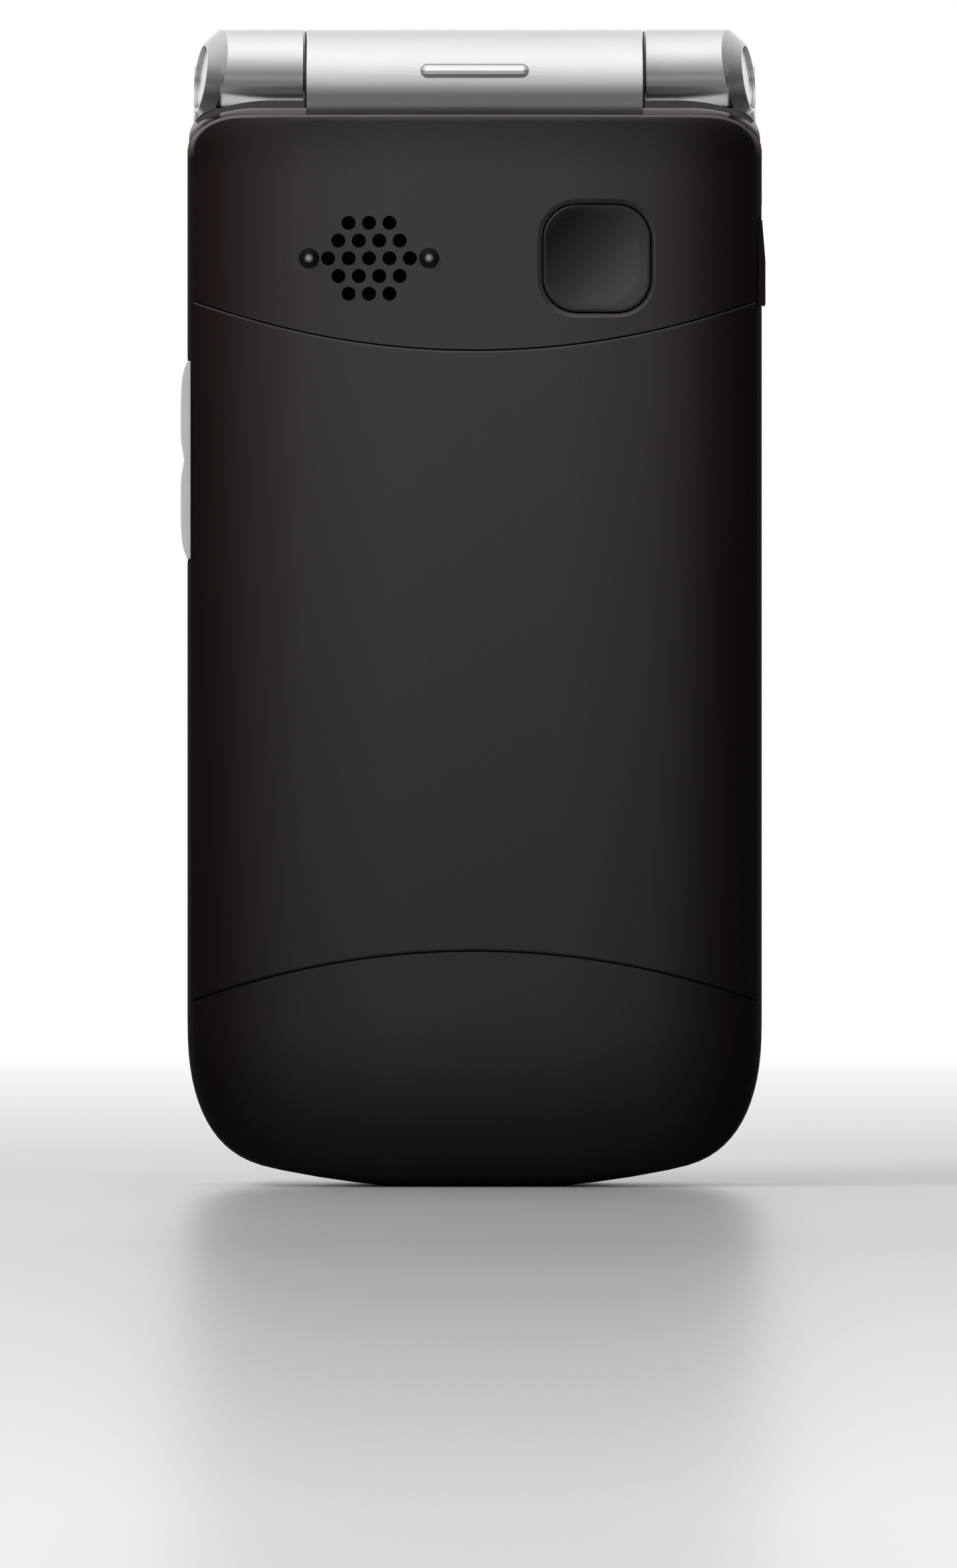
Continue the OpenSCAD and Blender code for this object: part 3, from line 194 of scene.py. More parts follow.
materials = {
    "rocker_paint": surface("rocker_paint", (0.63, 0.63, 0.635), (0.66, 0.66, 0.665), (0.36, 0.42),
                            metallic=0.2, grain=9000, depth=0.0004, coat=0.1),
    "black_gloss": surface("black_gloss", (0.008, 0.008, 0.009), (0.011, 0.011, 0.012), (0.05, 0.09),
                           grain=1500, depth=0.0004, coat=0.5),
    "silicone": surface("silicone", (0.66, 0.64, 0.58), (0.72, 0.70, 0.64), (0.5, 0.62), grain=2500),
    "battery_can": surface("battery_can", (0.26, 0.27, 0.30), (0.31, 0.32, 0.35), (0.34, 0.44),
                           metallic=0.2, grain=3000, depth=0.002),
    "gold_contacts": surface("gold_contacts", (0.74, 0.56, 0.23), (0.80, 0.63, 0.30), (0.18, 0.30),
                             metallic=1.0),
    "tin_plate": surface("tin_plate", (0.55, 0.56, 0.57), (0.63, 0.64, 0.65), (0.22, 0.38),
                         metallic=1.0, grain=1200, stretch=(1, 8, 0.15), depth=0.002),
    "dark_plastic": surface("dark_plastic", (0.040, 0.040, 0.044), (0.052, 0.052, 0.056), (0.45, 0.58)),
    "flap_rubber": surface("flap_rubber", (0.007, 0.006, 0.006), (0.011, 0.010, 0.010), (0.58, 0.68),
                           specular=0.15),
    "steel": surface("steel", (0.50, 0.51, 0.52), (0.58, 0.59, 0.60), (0.25, 0.36), metallic=1.0,
                     grain=2500, depth=0.002),
    "copper": surface("copper", (0.58, 0.30, 0.16), (0.66, 0.37, 0.22), (0.26, 0.38), metallic=1.0),
    "white_plastic": surface("white_plastic", (0.78, 0.77, 0.74), (0.83, 0.82, 0.79), (0.4, 0.5)),
    "cap_chrome": surface("cap_chrome", (0.68, 0.69, 0.70), (0.74, 0.75, 0.76), (0.10, 0.18),
                          metallic=1.0, grain=6000, depth=0.0006),
    "nav_silver": surface("nav_silver", (0.54, 0.55, 0.56), (0.60, 0.61, 0.62), (0.22, 0.30),
                          metallic=0.9, grain=9000, depth=0.001),
    "key_plastic": surface("key_plastic", (0.060, 0.060, 0.064), (0.076, 0.076, 0.080), (0.46, 0.56),
                           grain=4500),
    "lens_glass": surface("lens_glass", (0.012, 0.013, 0.016), (0.015, 0.016, 0.019), (0.03, 0.06),
                          grain=900, depth=0.0003, coat=0.6),
}


def zone(tree, limits):
    """Product of ramps, each given by its value, its two levels and the millimetres between them."""
    share = None
    for value, low, high, first, last in limits:
        part = ramp(tree, value, low, high, first * MM, last * MM)
        if share is not None:
            both = add(tree, "ShaderNodeMath", operation="MULTIPLY")
            tree.links.new(share, both.inputs[0])
            tree.links.new(part, both.inputs[1])
            part = both.outputs[0]
        share = part
    return share


def silver_material():
    """Silver paint, with shade and dark reflections painted into its colour low on the hinge's rear and
    on the lower bevels of the knuckle ends.
    """
    mat, tree, shader = new_material("silver_paint")
    coord = add(tree, "ShaderNodeTexCoord")
    place = add(tree, "ShaderNodeSeparateXYZ")
    tree.links.new(coord.outputs["Object"], place.inputs[0])
    aside = add(tree, "ShaderNodeMath", operation="ABSOLUTE")
    tree.links.new(place.outputs["X"], aside.inputs[0])
    x, y, z = aside.outputs[0], place.outputs["Y"], place.outputs["Z"]
    joint_x, bevel_x, soft = BARREL_L / 2, 23.0, 0.1
    rear = (y, 1, 0, 0.2, 1.2)
    above_saddle = (z, 0, 1, 96.3, 96.6)
    bevel = ((x, 0, 1, bevel_x - soft, bevel_x + soft), above_saddle, (z, 1, 0, 98.8, 101.7), rear)
    knuckle = ((x, 0, 1, joint_x, joint_x + soft), (x, 1, 0, bevel_x - soft, bevel_x + soft),
               (z, 0, 1, 99.1, 99.5), (z, 1, 0, 100.0, 101.0), rear)
    barrel = ((x, 1, 0, joint_x, joint_x + soft), above_saddle, (z, 1, 0, 98.2, 99.8), rear)
    colour = colours(tree, noise(tree, DRIFT, 4.0), (0.655, 0.655, 0.66), (0.675, 0.675, 0.68))
    # Painted shade and reflection: in these three zones the colour is mixed to dim levels, standing in
    # for the dark reflections low on the hinge.
    for limits, level in ((bevel, 0.10), (knuckle, 0.28), (barrel, 0.23)):
        painted_shade_mix = add(tree, "ShaderNodeMix", data_type="RGBA")
        tree.links.new(zone(tree, limits), painted_shade_mix.inputs["Factor"])
        tree.links.new(colour, painted_shade_mix.inputs["A"])
        painted_shade_mix.inputs["B"].default_value = (level, level, level * 1.02, 1)
        colour = painted_shade_mix.outputs["Result"]
    tree.links.new(colour, shader.inputs["Base Color"])
    fine = noise(tree, 9000.0, 4.0)
    tree.links.new(ramp(tree, fine, 0.24, 0.27), shader.inputs["Roughness"])
    shader.inputs["Metallic"].default_value = 0.92
    shader.inputs["Coat Weight"].default_value = 0.1
    shader.inputs["Coat Roughness"].default_value = COAT_ROUGHNESS
    bump(tree, shader, fine, 0.0002)
    return mat


def body_material(name):
    """Matte black moulding, with shade painted into its colour towards its sides and lower end, and a
    painted highlight on its upward edges.
    """
    mat, tree, shader = new_material(name)
    coord = add(tree, "ShaderNodeTexCoord")
    place = add(tree, "ShaderNodeSeparateXYZ")
    tree.links.new(coord.outputs["Object"], place.inputs[0])
    aside = add(tree, "ShaderNodeMath", operation="ABSOLUTE")
    tree.links.new(place.outputs["X"], aside.inputs[0])
    share = ramp(tree, aside.outputs[0], 0, 1, 0, HALF_W * MM)
    # Painted shade: the colour falls from the middle towards the sides.
    painted_shade_tone = add(tree, "ShaderNodeValToRGB")
    painted_shade_tone.color_ramp.elements[0].position = 0.30
    painted_shade_tone.color_ramp.elements[0].color = (0.057, 0.052, 0.053, 1)
    painted_shade_tone.color_ramp.elements[1].color = (0.0040, 0.0016, 0.0015, 1)
    for position, colour in ((0.60, (0.046, 0.041, 0.040)), (0.87, (0.014, 0.0095, 0.0090))):
        painted_shade_tone.color_ramp.elements.new(position).color = (*colour, 1)
    tree.links.new(share, painted_shade_tone.inputs["Fac"])
    # Painted shade: the colour falls towards the lower end.
    height = ramp(tree, place.outputs["Z"], 0, 1, 0, REAR_L * MM)
    shade = add(tree, "ShaderNodeValToRGB")
    shade.color_ramp.elements[0].color = (0.20, 0.19, 0.19, 1)
    shade.color_ramp.elements[1].color = (0.62, 0.62, 0.62, 1)
    for position, level in ((0.054, 0.31), (0.147, 0.64), (0.77, 1.0), (0.94, 1.0)):
        shade.color_ramp.elements.new(position).color = (level, level, level, 1)
    tree.links.new(height, shade.inputs["Fac"])
    fine = noise(tree, 5000.0, 4.0)
    colour = painted_shade_tone.outputs["Color"]
    for factor in (shade.outputs["Color"], colours(tree, fine, (0.92, 0.92, 0.92), (1, 1, 1))):
        times = add(tree, "ShaderNodeMix", data_type="RGBA", blend_type="MULTIPLY")
        times.inputs["Factor"].default_value = 1.0
        tree.links.new(colour, times.inputs["A"])
        tree.links.new(factor, times.inputs["B"])
        colour = times.outputs["Result"]
    facing = add(tree, "ShaderNodeSeparateXYZ")
    tree.links.new(coord.outputs["Normal"], facing.inputs[0])
    corner = add(tree, "ShaderNodeCombineXYZ")
    tree.links.new(ramp(tree, aside.outputs[0], 0, 1, (HALF_W - TOP_W) * MM, HALF_W * MM),
                   corner.inputs["X"])
    tree.links.new(ramp(tree, place.outputs["Z"], 0, 1, (REAR_L - TOP_H) * MM, REAR_L * MM),
                   corner.inputs["Z"])
    reach = add(tree, "ShaderNodeVectorMath", operation="LENGTH")
    tree.links.new(corner.outputs["Vector"], reach.inputs[0])
    # Painted highlight: paler colour on upward-facing edges near the top and along the top corners.
    highlight_edges = []
    upward = (facing.outputs["Z"], 0.25, 0.8, 92, 90, 0.6)
    outline = (reach.outputs["Value"], 0.84, 0.9, 93, 95, 1)
    for value, start, end, z_start, z_end, most in (upward, outline):
        limit = ramp(tree, place.outputs["Z"], 0, most, z_start * MM, z_end * MM)
        share = add(tree, "ShaderNodeMath", operation="MULTIPLY")
        tree.links.new(ramp(tree, value, 0, 1, start, end), share.inputs[0])
        tree.links.new(limit, share.inputs[1])
        highlight_edges.append(share.outputs[0])
    either = add(tree, "ShaderNodeMath", operation="MAXIMUM")
    tree.links.new(highlight_edges[0], either.inputs[0])
    tree.links.new(highlight_edges[1], either.inputs[1])
    painted_highlight = add(tree, "ShaderNodeMix", data_type="RGBA")
    tree.links.new(either.outputs[0], painted_highlight.inputs["Factor"])
    tree.links.new(colour, painted_highlight.inputs["A"])
    painted_highlight.inputs["B"].default_value = (0.115, 0.10, 0.095, 1)
    tree.links.new(painted_highlight.outputs["Result"], shader.inputs["Base Color"])
    tree.links.new(ramp(tree, fine, 0.58, 0.68), shader.inputs["Roughness"])
    shader.inputs["Specular IOR Level"].default_value = 0.03
    bump(tree, shader, fine, 0.004)
    return mat


def key_material():
    """Dark gloss of the emergency key, with shade painted into its dish, deepest at the upper left, and
    a painted highlight on its raised rim.
    """
    mat, tree, shader = new_material("key_gloss")
    coord = add(tree, "ShaderNodeTexCoord")
    # Painted shade across the dish, deepest at the upper left.
    slant = add(tree, "ShaderNodeVectorMath", operation="DOT_PRODUCT")
    tree.links.new(coord.outputs["Object"], slant.inputs[0])
    slant.inputs[1].default_value = (1, 0, -1)
    middle = (SOS_X - FEATURE_Z) * MM
    reach = SOS_W * 0.75 * MM
    share = ramp(tree, slant.outputs["Value"], 0, 1, middle - reach, middle + reach)
    painted_shade_tone = colours(tree, share, (0.012, 0.009, 0.0085), (0.062, 0.057, 0.056), 0.05, 0.95)
    # Painted highlight on the rim where it faces up and to the left.
    lean = add(tree, "ShaderNodeVectorMath", operation="DOT_PRODUCT")
    tree.links.new(coord.outputs["Normal"], lean.inputs[0])
    lean.inputs[1].default_value = (-0.7, 0, 0.7)
    rim = add(tree, "ShaderNodeMix", data_type="RGBA")
    tree.links.new(ramp(tree, lean.outputs["Value"], 0, 1, 0.42, 0.75), rim.inputs["Factor"])
    tree.links.new(painted_shade_tone, rim.inputs["A"])
    rim.inputs["B"].default_value = (0.075, 0.068, 0.066, 1)
    tree.links.new(rim.outputs["Result"], shader.inputs["Base Color"])
    fine = noise(tree, 5000.0, 4.0)
    tree.links.new(ramp(tree, fine, 0.50, 0.60), shader.inputs["Roughness"])
    shader.inputs["Specular IOR Level"].default_value = 0.1
    bump(tree, shader, fine, 0.003)
    return mat


def nub_material():
    """Dark rubber, with a highlight painted pale at the tips."""
    mat, tree, shader = new_material("nub_rubber")
    coord = add(tree, "ShaderNodeTexCoord")
    nearest = None
    for x in (GRILLE_X - NUB_REACH, GRILLE_X + NUB_REACH):
        away = add(tree, "ShaderNodeVectorMath", operation="MULTIPLY_ADD")
        tree.links.new(coord.outputs["Object"], away.inputs[0])
        away.inputs[1].default_value = (1, 0, 1)
        away.inputs[2].default_value = (-x * MM, 0, -FEATURE_Z * MM)
        length = add(tree, "ShaderNodeVectorMath", operation="LENGTH")
        tree.links.new(away.outputs["Vector"], length.inputs[0])
        if nearest is None:
            nearest = length.outputs["Value"]
        else:
            least = add(tree, "ShaderNodeMath", operation="MINIMUM")
            tree.links.new(nearest, least.inputs[0])
            tree.links.new(length.outputs["Value"], least.inputs[1])
            nearest = least.outputs[0]
    # Painted highlight: pale at the middle of each nub, dark around it.
    painted_tip_highlight = ramp(tree, nearest, 1, 0, 0.05 * MM, NUB_TIP * MM)
    tree.links.new(colours(tree, painted_tip_highlight, (0.004, 0.003, 0.003), (0.34, 0.33, 0.32), 0, 1),
                   shader.inputs["Base Color"])
    tree.links.new(ramp(tree, noise(tree, 3000.0), 0.3, 0.4), shader.inputs["Roughness"])
    shader.inputs["Specular IOR Level"].default_value = 0.1
    return mat


def board_material():
    mat, tree, shader = new_material("circuit_board")
    coord = add(tree, "ShaderNodeTexCoord")
    cells = add(tree, "ShaderNodeTexVoronoi", distance="MANHATTAN", feature="DISTANCE_TO_EDGE")
    cells.inputs["Scale"].default_value = 420.0
    tree.links.new(coord.outputs["Object"], cells.inputs["Vector"])
    track, ground = (0.07, 0.26, 0.13), (0.035, 0.15, 0.075)
    tree.links.new(colours(tree, cells.outputs["Distance"], track, ground, 0.03, 0.08),
                   shader.inputs["Base Color"])
    fine = noise(tree, 2600.0)
    tree.links.new(ramp(tree, fine, 0.22, 0.36), shader.inputs["Roughness"])
    bump(tree, shader, cells.outputs["Distance"], 0.02, 0.4)
    return mat


def mesh_material():
    mat, tree, shader = new_material("black_mesh")
    coord = add(tree, "ShaderNodeTexCoord")
    waves = []
    for direction in ("X", "Z"):
        wave = add(tree, "ShaderNodeTexWave", bands_direction=direction)
        wave.inputs["Scale"].default_value = 2200.0
        tree.links.new(coord.outputs["Object"], wave.inputs["Vector"])
        waves.append(wave.outputs["Fac"])
    both = add(tree, "ShaderNodeMath", operation="MAXIMUM")
    tree.links.new(waves[0], both.inputs[0])
    tree.links.new(waves[1], both.inputs[1])
    gap, wire = (0.002, 0.002, 0.002), (0.010, 0.010, 0.010)
    tree.links.new(colours(tree, both.outputs[0], gap, wire, 0.5, 0.9), shader.inputs["Base Color"])
    shader.inputs["Roughness"].default_value = 0.8
    bump(tree, shader, both.outputs[0], 0.05)
    return mat


def flex_material():
    mat, tree, shader = new_material("flex_lead")
    coord = add(tree, "ShaderNodeTexCoord")
    wave = add(tree, "ShaderNodeTexWave", bands_direction="X")
    wave.inputs["Scale"].default_value = 700.0
    tree.links.new(coord.outputs["Object"], wave.inputs["Vector"])
    tree.links.new(colours(tree, wave.outputs["Fac"], (0.50, 0.25, 0.05), (0.70, 0.40, 0.12), 0.4, 0.6),
                   shader.inputs["Base Color"])
    tree.links.new(ramp(tree, noise(tree, 2400.0), 0.25, 0.4), shader.inputs["Roughness"])
    return mat


def display_material():
    mat, tree, shader = new_material("display_glass")
    coord = add(tree, "ShaderNodeTexCoord")
    wave = add(tree, "ShaderNodeTexWave", bands_direction="X")
    wave.inputs["Scale"].default_value = 1400.0
    tree.links.new(coord.outputs["Object"], wave.inputs["Vector"])
    dark, light = (0.030, 0.036, 0.042), (0.040, 0.047, 0.054)
    tree.links.new(colours(tree, wave.outputs["Fac"], dark, light), shader.inputs["Base Color"])
    tree.links.new(ramp(tree, noise(tree, 1500.0), 0.10, 0.18), shader.inputs["Roughness"])
    return mat


def panel_material():
    """Black gloss with a clear window over the outer display."""
    mat, tree, shader = new_material("panel_gloss")
    low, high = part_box("outer_display")
    middle, half = (low + high) / 2, (high - low) / 2
    coord = add(tree, "ShaderNodeTexCoord")
    within = add(tree, "ShaderNodeVectorMath", operation="MULTIPLY_ADD")
    tree.links.new(coord.outputs["Object"], within.inputs[0])
    within.inputs[1].default_value = (1 / half.x, 0, 1 / half.z)
    within.inputs[2].default_value = (-middle.x / half.x, 0, -middle.z / half.z)
    size = add(tree, "ShaderNodeVectorMath", operation="ABSOLUTE")
    tree.links.new(within.outputs["Vector"], size.inputs[0])
    reach = add(tree, "ShaderNodeSeparateXYZ")
    tree.links.new(size.outputs["Vector"], reach.inputs[0])
    most = add(tree, "ShaderNodeMath", operation="MAXIMUM")
    tree.links.new(reach.outputs["X"], most.inputs[0])
    tree.links.new(reach.outputs["Z"], most.inputs[1])
    window = add(tree, "ShaderNodeMix", data_type="RGBA")
    tree.links.new(ramp(tree, most.outputs[0], 1, 0, 0.96, 0.98), window.inputs["Factor"])
    tree.links.new(colours(tree, noise(tree, DRIFT), (0.006, 0.006, 0.007), (0.009, 0.009, 0.010)),
                   window.inputs["A"])
    tree.links.new(colours(tree, noise(tree, 400.0), (0.060, 0.070, 0.078), (0.070, 0.080, 0.088)),
                   window.inputs["B"])
    tree.links.new(window.outputs["Result"], shader.inputs["Base Color"])
    tree.links.new(ramp(tree, noise(tree, 1500.0), 0.05, 0.09), shader.inputs["Roughness"])
    shader.inputs["Coat Weight"].default_value = 0.5
    shader.inputs["Coat Roughness"].default_value = COAT_ROUGHNESS
    return mat


def guide_material():
    mat, tree, shader = new_material("clear_guide")
    tree.links.new(colours(tree, noise(tree, 900.0), (0.66, 0.67, 0.68), (0.70, 0.71, 0.72)),
                   shader.inputs["Base Color"])
    tree.links.new(ramp(tree, noise(tree, 3000.0), 0.10, 0.16), shader.inputs["Roughness"])
    shader.inputs["Metallic"].default_value = 0.9
    shader.inputs["Coat Weight"].default_value = 0.3
    return mat


materials["silver_paint"] = silver_material()
materials["black_plastic"] = body_material("black_plastic")
materials["black_cover"] = body_material("black_cover")
materials["key_gloss"] = key_material()
materials["nub_rubber"] = nub_material()
materials["circuit_board"] = board_material()
materials["black_mesh"] = mesh_material()
materials["flex_lead"] = flex_material()
materials["display_glass"] = display_material()
materials["clear_guide"] = guide_material()
materials["panel_gloss"] = panel_material()
finish_of = {**slot_of, "volume_rocker": "rocker_paint", "front_panel": "panel_gloss"}


# Shape of the keypad half's back
def lower_line(x, inset):
    """Height of the outline's lower edge, corners included."""
    a = np.abs(x)
    half = FOOT_W / 2
    edge = (np.maximum(a, half) ** 2 - half ** 2) / (2 * BOTTOM_R)
    t = np.clip((a - (HALF_W - inset - CORNER_W)) / CORNER_W, 0, 1)
    return inset + edge + CORNER_H * (1 - (1 - t ** 3) ** 0.4)


def upper_line(x, inset):
    """Height of the outline's upper edge, corners included."""
    t = np.clip((np.abs(x) - (HALF_W - inset - TOP_W)) / TOP_W, 0, 1)
    return REAR_L - inset - TOP_H * (1 - np.sqrt(1 - t ** 2))


def edge_share(x, z, inset=0.0):
    """How far in over the rounded edge a point lies: 0 at the outline, 1 on the face."""
    hw = HALF_W - inset
    across = (EDGE_W - inset) / hw
    low = (END_ROUND - inset) / (MID_Z - inset)
    high = TOP_ROUND * (1 - inset / (Y_EDGE - Y_BACK)) / (REAR_L - inset - MID_Z)
    along = np.where(z < MID_Z, low, high)
    lo, hi = np.zeros_like(x), np.ones_like(x)
    for step in range(HALVINGS):
        f = hi if step == 0 else (lo + hi) / 2
        px = x / (1 - f * across)
        pz = MID_Z + (z - MID_Z) / (1 - f * along)
        inside = (np.abs(px) <= hw) & (pz >= lower_line(px, inset)) & (pz <= upper_line(px, inset))
        lo, hi = np.where(inside, f, lo), np.where(inside, hi, f)
    return lo


def back_depth(x, inset):
    return Y_EDGE - Y_BACK - inset - CROWN * (np.asarray(x) / (HALF_W - inset)) ** 2


def back_y(x, z, inset=0.0):
    """Y of the back at a point across and along the phone."""
    f = edge_share(x, z, inset)
    return Y_EDGE - np.sqrt(1 - (1 - f) ** 2) * back_depth(x, inset)


def back_level(p):
    """Zero on the back's rounded surface, for points as rows."""
    x, y, z = p.T
    s = np.clip((Y_EDGE - y) / back_depth(x, 0.0), 0, 0.99999)
    return edge_share(x, z) - (1 - np.sqrt(1 - s ** 2))


def level_slope(p):
    """Change of back_level over two steps, along each axis."""
    return np.stack([back_level(p + SLOPE_STEP * e) - back_level(p - SLOPE_STEP * e) for e in np.eye(3)],
                    axis=1)


def back_normals(p):
    """Outward normals of the back at points on or near it."""
    normal = -level_slope(p)
    face = edge_share(p[:, 0], p[:, 2]) > 0.9995
    lean = 2 * CROWN * p[face, 0] / HALF_W ** 2
    normal[face] = np.stack([lean, -np.ones(face.sum()), np.zeros(face.sum())], axis=1)
    rim = p[:, 1] > Y_EDGE + 0.001
    step, shrink = 0.02, 0.999
    x, z = p[rim, 0] * shrink, MID_Z + (p[rim, 2] - MID_Z) * shrink
    spread = np.stack([edge_share(x + d, z + e) - edge_share(x - d, z - e)
                       for d, e in ((step, 0), (0, step))], axis=1)
    normal[rim] = np.stack([-spread[:, 0], np.zeros(rim.sum()), -spread[:, 1]], axis=1)
    length = np.linalg.norm(normal, axis=1, keepdims=True)
    return normal / np.maximum(length, 1e-9)


# Mesh helpers
def link(obj):
    bpy.context.scene.collection.objects.link(obj)
    return obj


def make_piece(name, points, faces, slot, body, stands_for=None, smooth_angle=35.0):
    """New mesh piece from points in millimetres."""
    mesh = bpy.data.meshes.new(name)
    mesh.from_pydata([tuple(c * MM for c in p) for p in points], [], faces)
    bm = bmesh.new()
    bm.from_mesh(mesh)
    bmesh.ops.remove_doubles(bm, verts=bm.verts, dist=1e-7)
    bmesh.ops.recalc_face_normals(bm, faces=bm.faces)
    bm.to_mesh(mesh)
    bm.free()
    mesh.shade_smooth()
    mesh.set_sharp_from_angle(angle=math.radians(smooth_angle))
    obj = link(bpy.data.objects.new(name, mesh))
    mesh.materials.append(materials[slot])
    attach(obj, body)
    if stands_for:
        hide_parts(stands_for)


def smooth_group():
    """Geometry nodes that weld a solid and shade it smooth below an angle."""
    group = bpy.data.node_groups.new("weld_and_smooth", "GeometryNodeTree")
    group.interface.new_socket("Geometry", in_out="INPUT", socket_type="NodeSocketGeometry")
    group.interface.new_socket("Geometry", in_out="OUTPUT", socket_type="NodeSocketGeometry")
    start = group.nodes.new("NodeGroupInput")
    end = group.nodes.new("NodeGroupOutput")
    weld = group.nodes.new("GeometryNodeMergeByDistance")
    weld.inputs["Distance"].default_value = WELD
    angle = group.nodes.new("GeometryNodeInputMeshEdgeAngle")
    sharp = group.nodes.new("FunctionNodeCompare")
    sharp.data_type = "FLOAT"
    sharp.operation = "GREATER_THAN"
    sharp.inputs["B"].default_value = SMOOTH_ANGLE
    shade = group.nodes.new("GeometryNodeSetMeshNormal")
    shade.mode = "SHARPNESS"
    shade.inputs["Remove Custom"].default_value = True
    shade.inputs["Face Sharpness"].default_value = False
    group.links.new(start.outputs[0], weld.inputs["Geometry"])
    group.links.new(weld.outputs["Geometry"], shade.inputs["Mesh"])
    group.links.new(angle.outputs["Unsigned Angle"], sharp.inputs["A"])
    group.links.new(sharp.outputs["Result"], shade.inputs["Edge Sharpness"])
    group.links.new(shade.outputs["Mesh"], end.inputs[0])
    return group


weld_and_smooth = smooth_group()


def dress(node, edge):
    """Material, smooth shading and rounded edges on a solid that keeps its shape."""
    obj = nodes[node]
    obj.data.materials.clear()
    obj.data.materials.append(materials[finish_of[node]])
    smooth = obj.modifiers.new("smooth", "NODES")
    smooth.node_group = weld_and_smooth
    if edge:
        flat = obj.modifiers.new("flat", "DECIMATE")
        flat.decimate_type = "DISSOLVE"
        flat.angle_limit = math.radians(0.2)
        soft = obj.modifiers.new("soft", "BEVEL")
        soft.width = edge * MM
        soft.segments = 2
        soft.limit_method = "ANGLE"
        soft.angle_limit = math.radians(40)
        soft.harden_normals = True
        soft.use_clamp_overlap = True


def copy_of(node, name):
    """Welded copy of a solid's mesh as a piece that stands for it."""
    mesh = nodes[node].data.copy()
    mesh.name = name
    bm = bmesh.new()
    bm.from_mesh(mesh)
    bmesh.ops.remove_doubles(bm, verts=bm.verts, dist=WELD)
    bm.to_mesh(mesh)
    bm.free()
    if mesh.has_custom_normals:
        mesh.attributes.remove(mesh.attributes["custom_normal"])
    mesh.materials.clear()
    mesh.materials.append(materials[slot_of[node]])
    mesh.shade_smooth()
    mesh.set_sharp_from_angle(angle=SMOOTH_ANGLE)
    obj = link(bpy.data.objects.new(name, mesh))
    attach(obj, nodes[node]["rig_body"])
    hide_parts(node)
    return obj


def set_form_normals(obj, normals_at):
    """Give the faces that lie on a curved form that form's own normals."""
    mesh = obj.data
    points = np.array([v.co for v in mesh.vertices]) / MM
    normals, near = normals_at(points)
    loops = np.array([n.vector for n in mesh.corner_normals])
    for face in mesh.polygons:
        vs = list(face.vertices)
        if near[vs].all() and (normals[vs] @ np.array(face.normal)).min() > 0.9:
            for k in face.loop_indices:
                loops[k] = normals[mesh.loops[k].vertex_index]
    mesh.normals_split_custom_set([tuple(n) for n in loops])


def on_back(points):
    """Normals of the back at points, and which of the points lie on it."""
    near_round, near_face, near_rim, shrink = 0.12, 0.08, 0.02, 0.9985
    normals = back_normals(points)
    x, y, z = points.T
    level = np.abs(back_level(points))
    grad = np.linalg.norm(level_slope(points), axis=1) / (2 * SLOPE_STEP)
    rounded = (y <= Y_EDGE + 0.001) & (level / np.maximum(grad, 0.02) < near_round)
    face = np.abs(y - back_y(x, z)) < near_face
    rim = (y > Y_EDGE) & (edge_share(x * shrink, MID_Z + (z - MID_Z) * shrink) < near_rim)
    return normals, rounded | face | rim


housing = copy_of("base_rear_housing", "rear_housing")
set_form_normals(housing, on_back)


# Battery cover, with softly rounded seams
def cover_grid(inset, ease, columns, rows):
    """Points of the cover's skin: x and z follow the seams and the side edges."""
    y_side = Y_COVER - COVER_GAP
    s = np.sin(np.linspace(-1, 1, columns) * math.pi / 2)[None, :]
    t = rows[:, None]
    radius = SEAM_R + COVER_GAP
    z = np.full((len(rows), columns), (SEAM_HI + SEAM_LO) / 2)
    for _ in range(6):
        lo, hi = np.zeros_like(z), np.full_like(z, HALF_W - inset)
        for _ in range(HALVINGS):
            mid = (lo + hi) / 2
            inside = back_y(mid, z, inset) < y_side
            lo, hi = np.where(inside, mid, lo), np.where(inside, hi, mid)
        x = s * lo
        rise = SEAM_R - np.sqrt(radius ** 2 - x ** 2)
        upper, lower = SEAM_HI + rise, SEAM_LO - rise
        half = (upper - lower) / 2
        z = (upper + lower) / 2 + half * t
    y = np.minimum(back_y(x, z, inset), y_side)
    gap_top = np.hypot(x, z - (SEAM_HI + SEAM_R)) - radius
    gap_low = np.hypot(x, z - (SEAM_LO - SEAM_R)) - radius
    near = np.clip(np.minimum(gap_top, gap_low), 0, ease)
    y = y + ease - np.sqrt(np.maximum(ease ** 2 - (ease - near) ** 2, 0))
    return np.stack([x, y, z], axis=2)


def make_cover():
    half = (SEAM_HI - SEAM_LO) / 2
    ease = 0.24
    rim = np.array([0.0, 0.01, 0.03, 0.06, 0.1, 0.15, 0.2, 0.26, 0.5]) / half
    margin = 1.2 / half
    inner = np.linspace(-1 + margin, 1 - margin, 45)
    rows = np.concatenate([-1 + rim, inner, (1 - rim)[::-1]])
    columns = 81
    outer = cover_grid(0.0, ease, columns, rows)
    under = cover_grid(COVER_T, 0.0, columns, rows)
    n, m = outer.shape[:2]
    points = [tuple(p) for p in outer.reshape(-1, 3)] + [tuple(p) for p in under.reshape(-1, 3)]
    faces = []
    for i in range(n - 1):
        for j in range(m - 1):
            a = i * m + j
            faces.append((a, a + 1, a + m + 1, a + m))
            b = n * m + a
            faces.append((b + m, b + m + 1, b + 1, b))
    ring = [j for j in range(m)] + [i * m + m - 1 for i in range(1, n)]
    ring += [(n - 1) * m + j for j in range(m - 2, -1, -1)] + [i * m for i in range(n - 2, 0, -1)]
    for k, a in enumerate(ring):
        b = ring[(k + 1) % len(ring)]
        faces.append((a, n * m + a, n * m + b, b))
    make_piece("battery_cover_skin", points, faces, "black_cover", "battery_cover", "battery_cover")


make_cover()


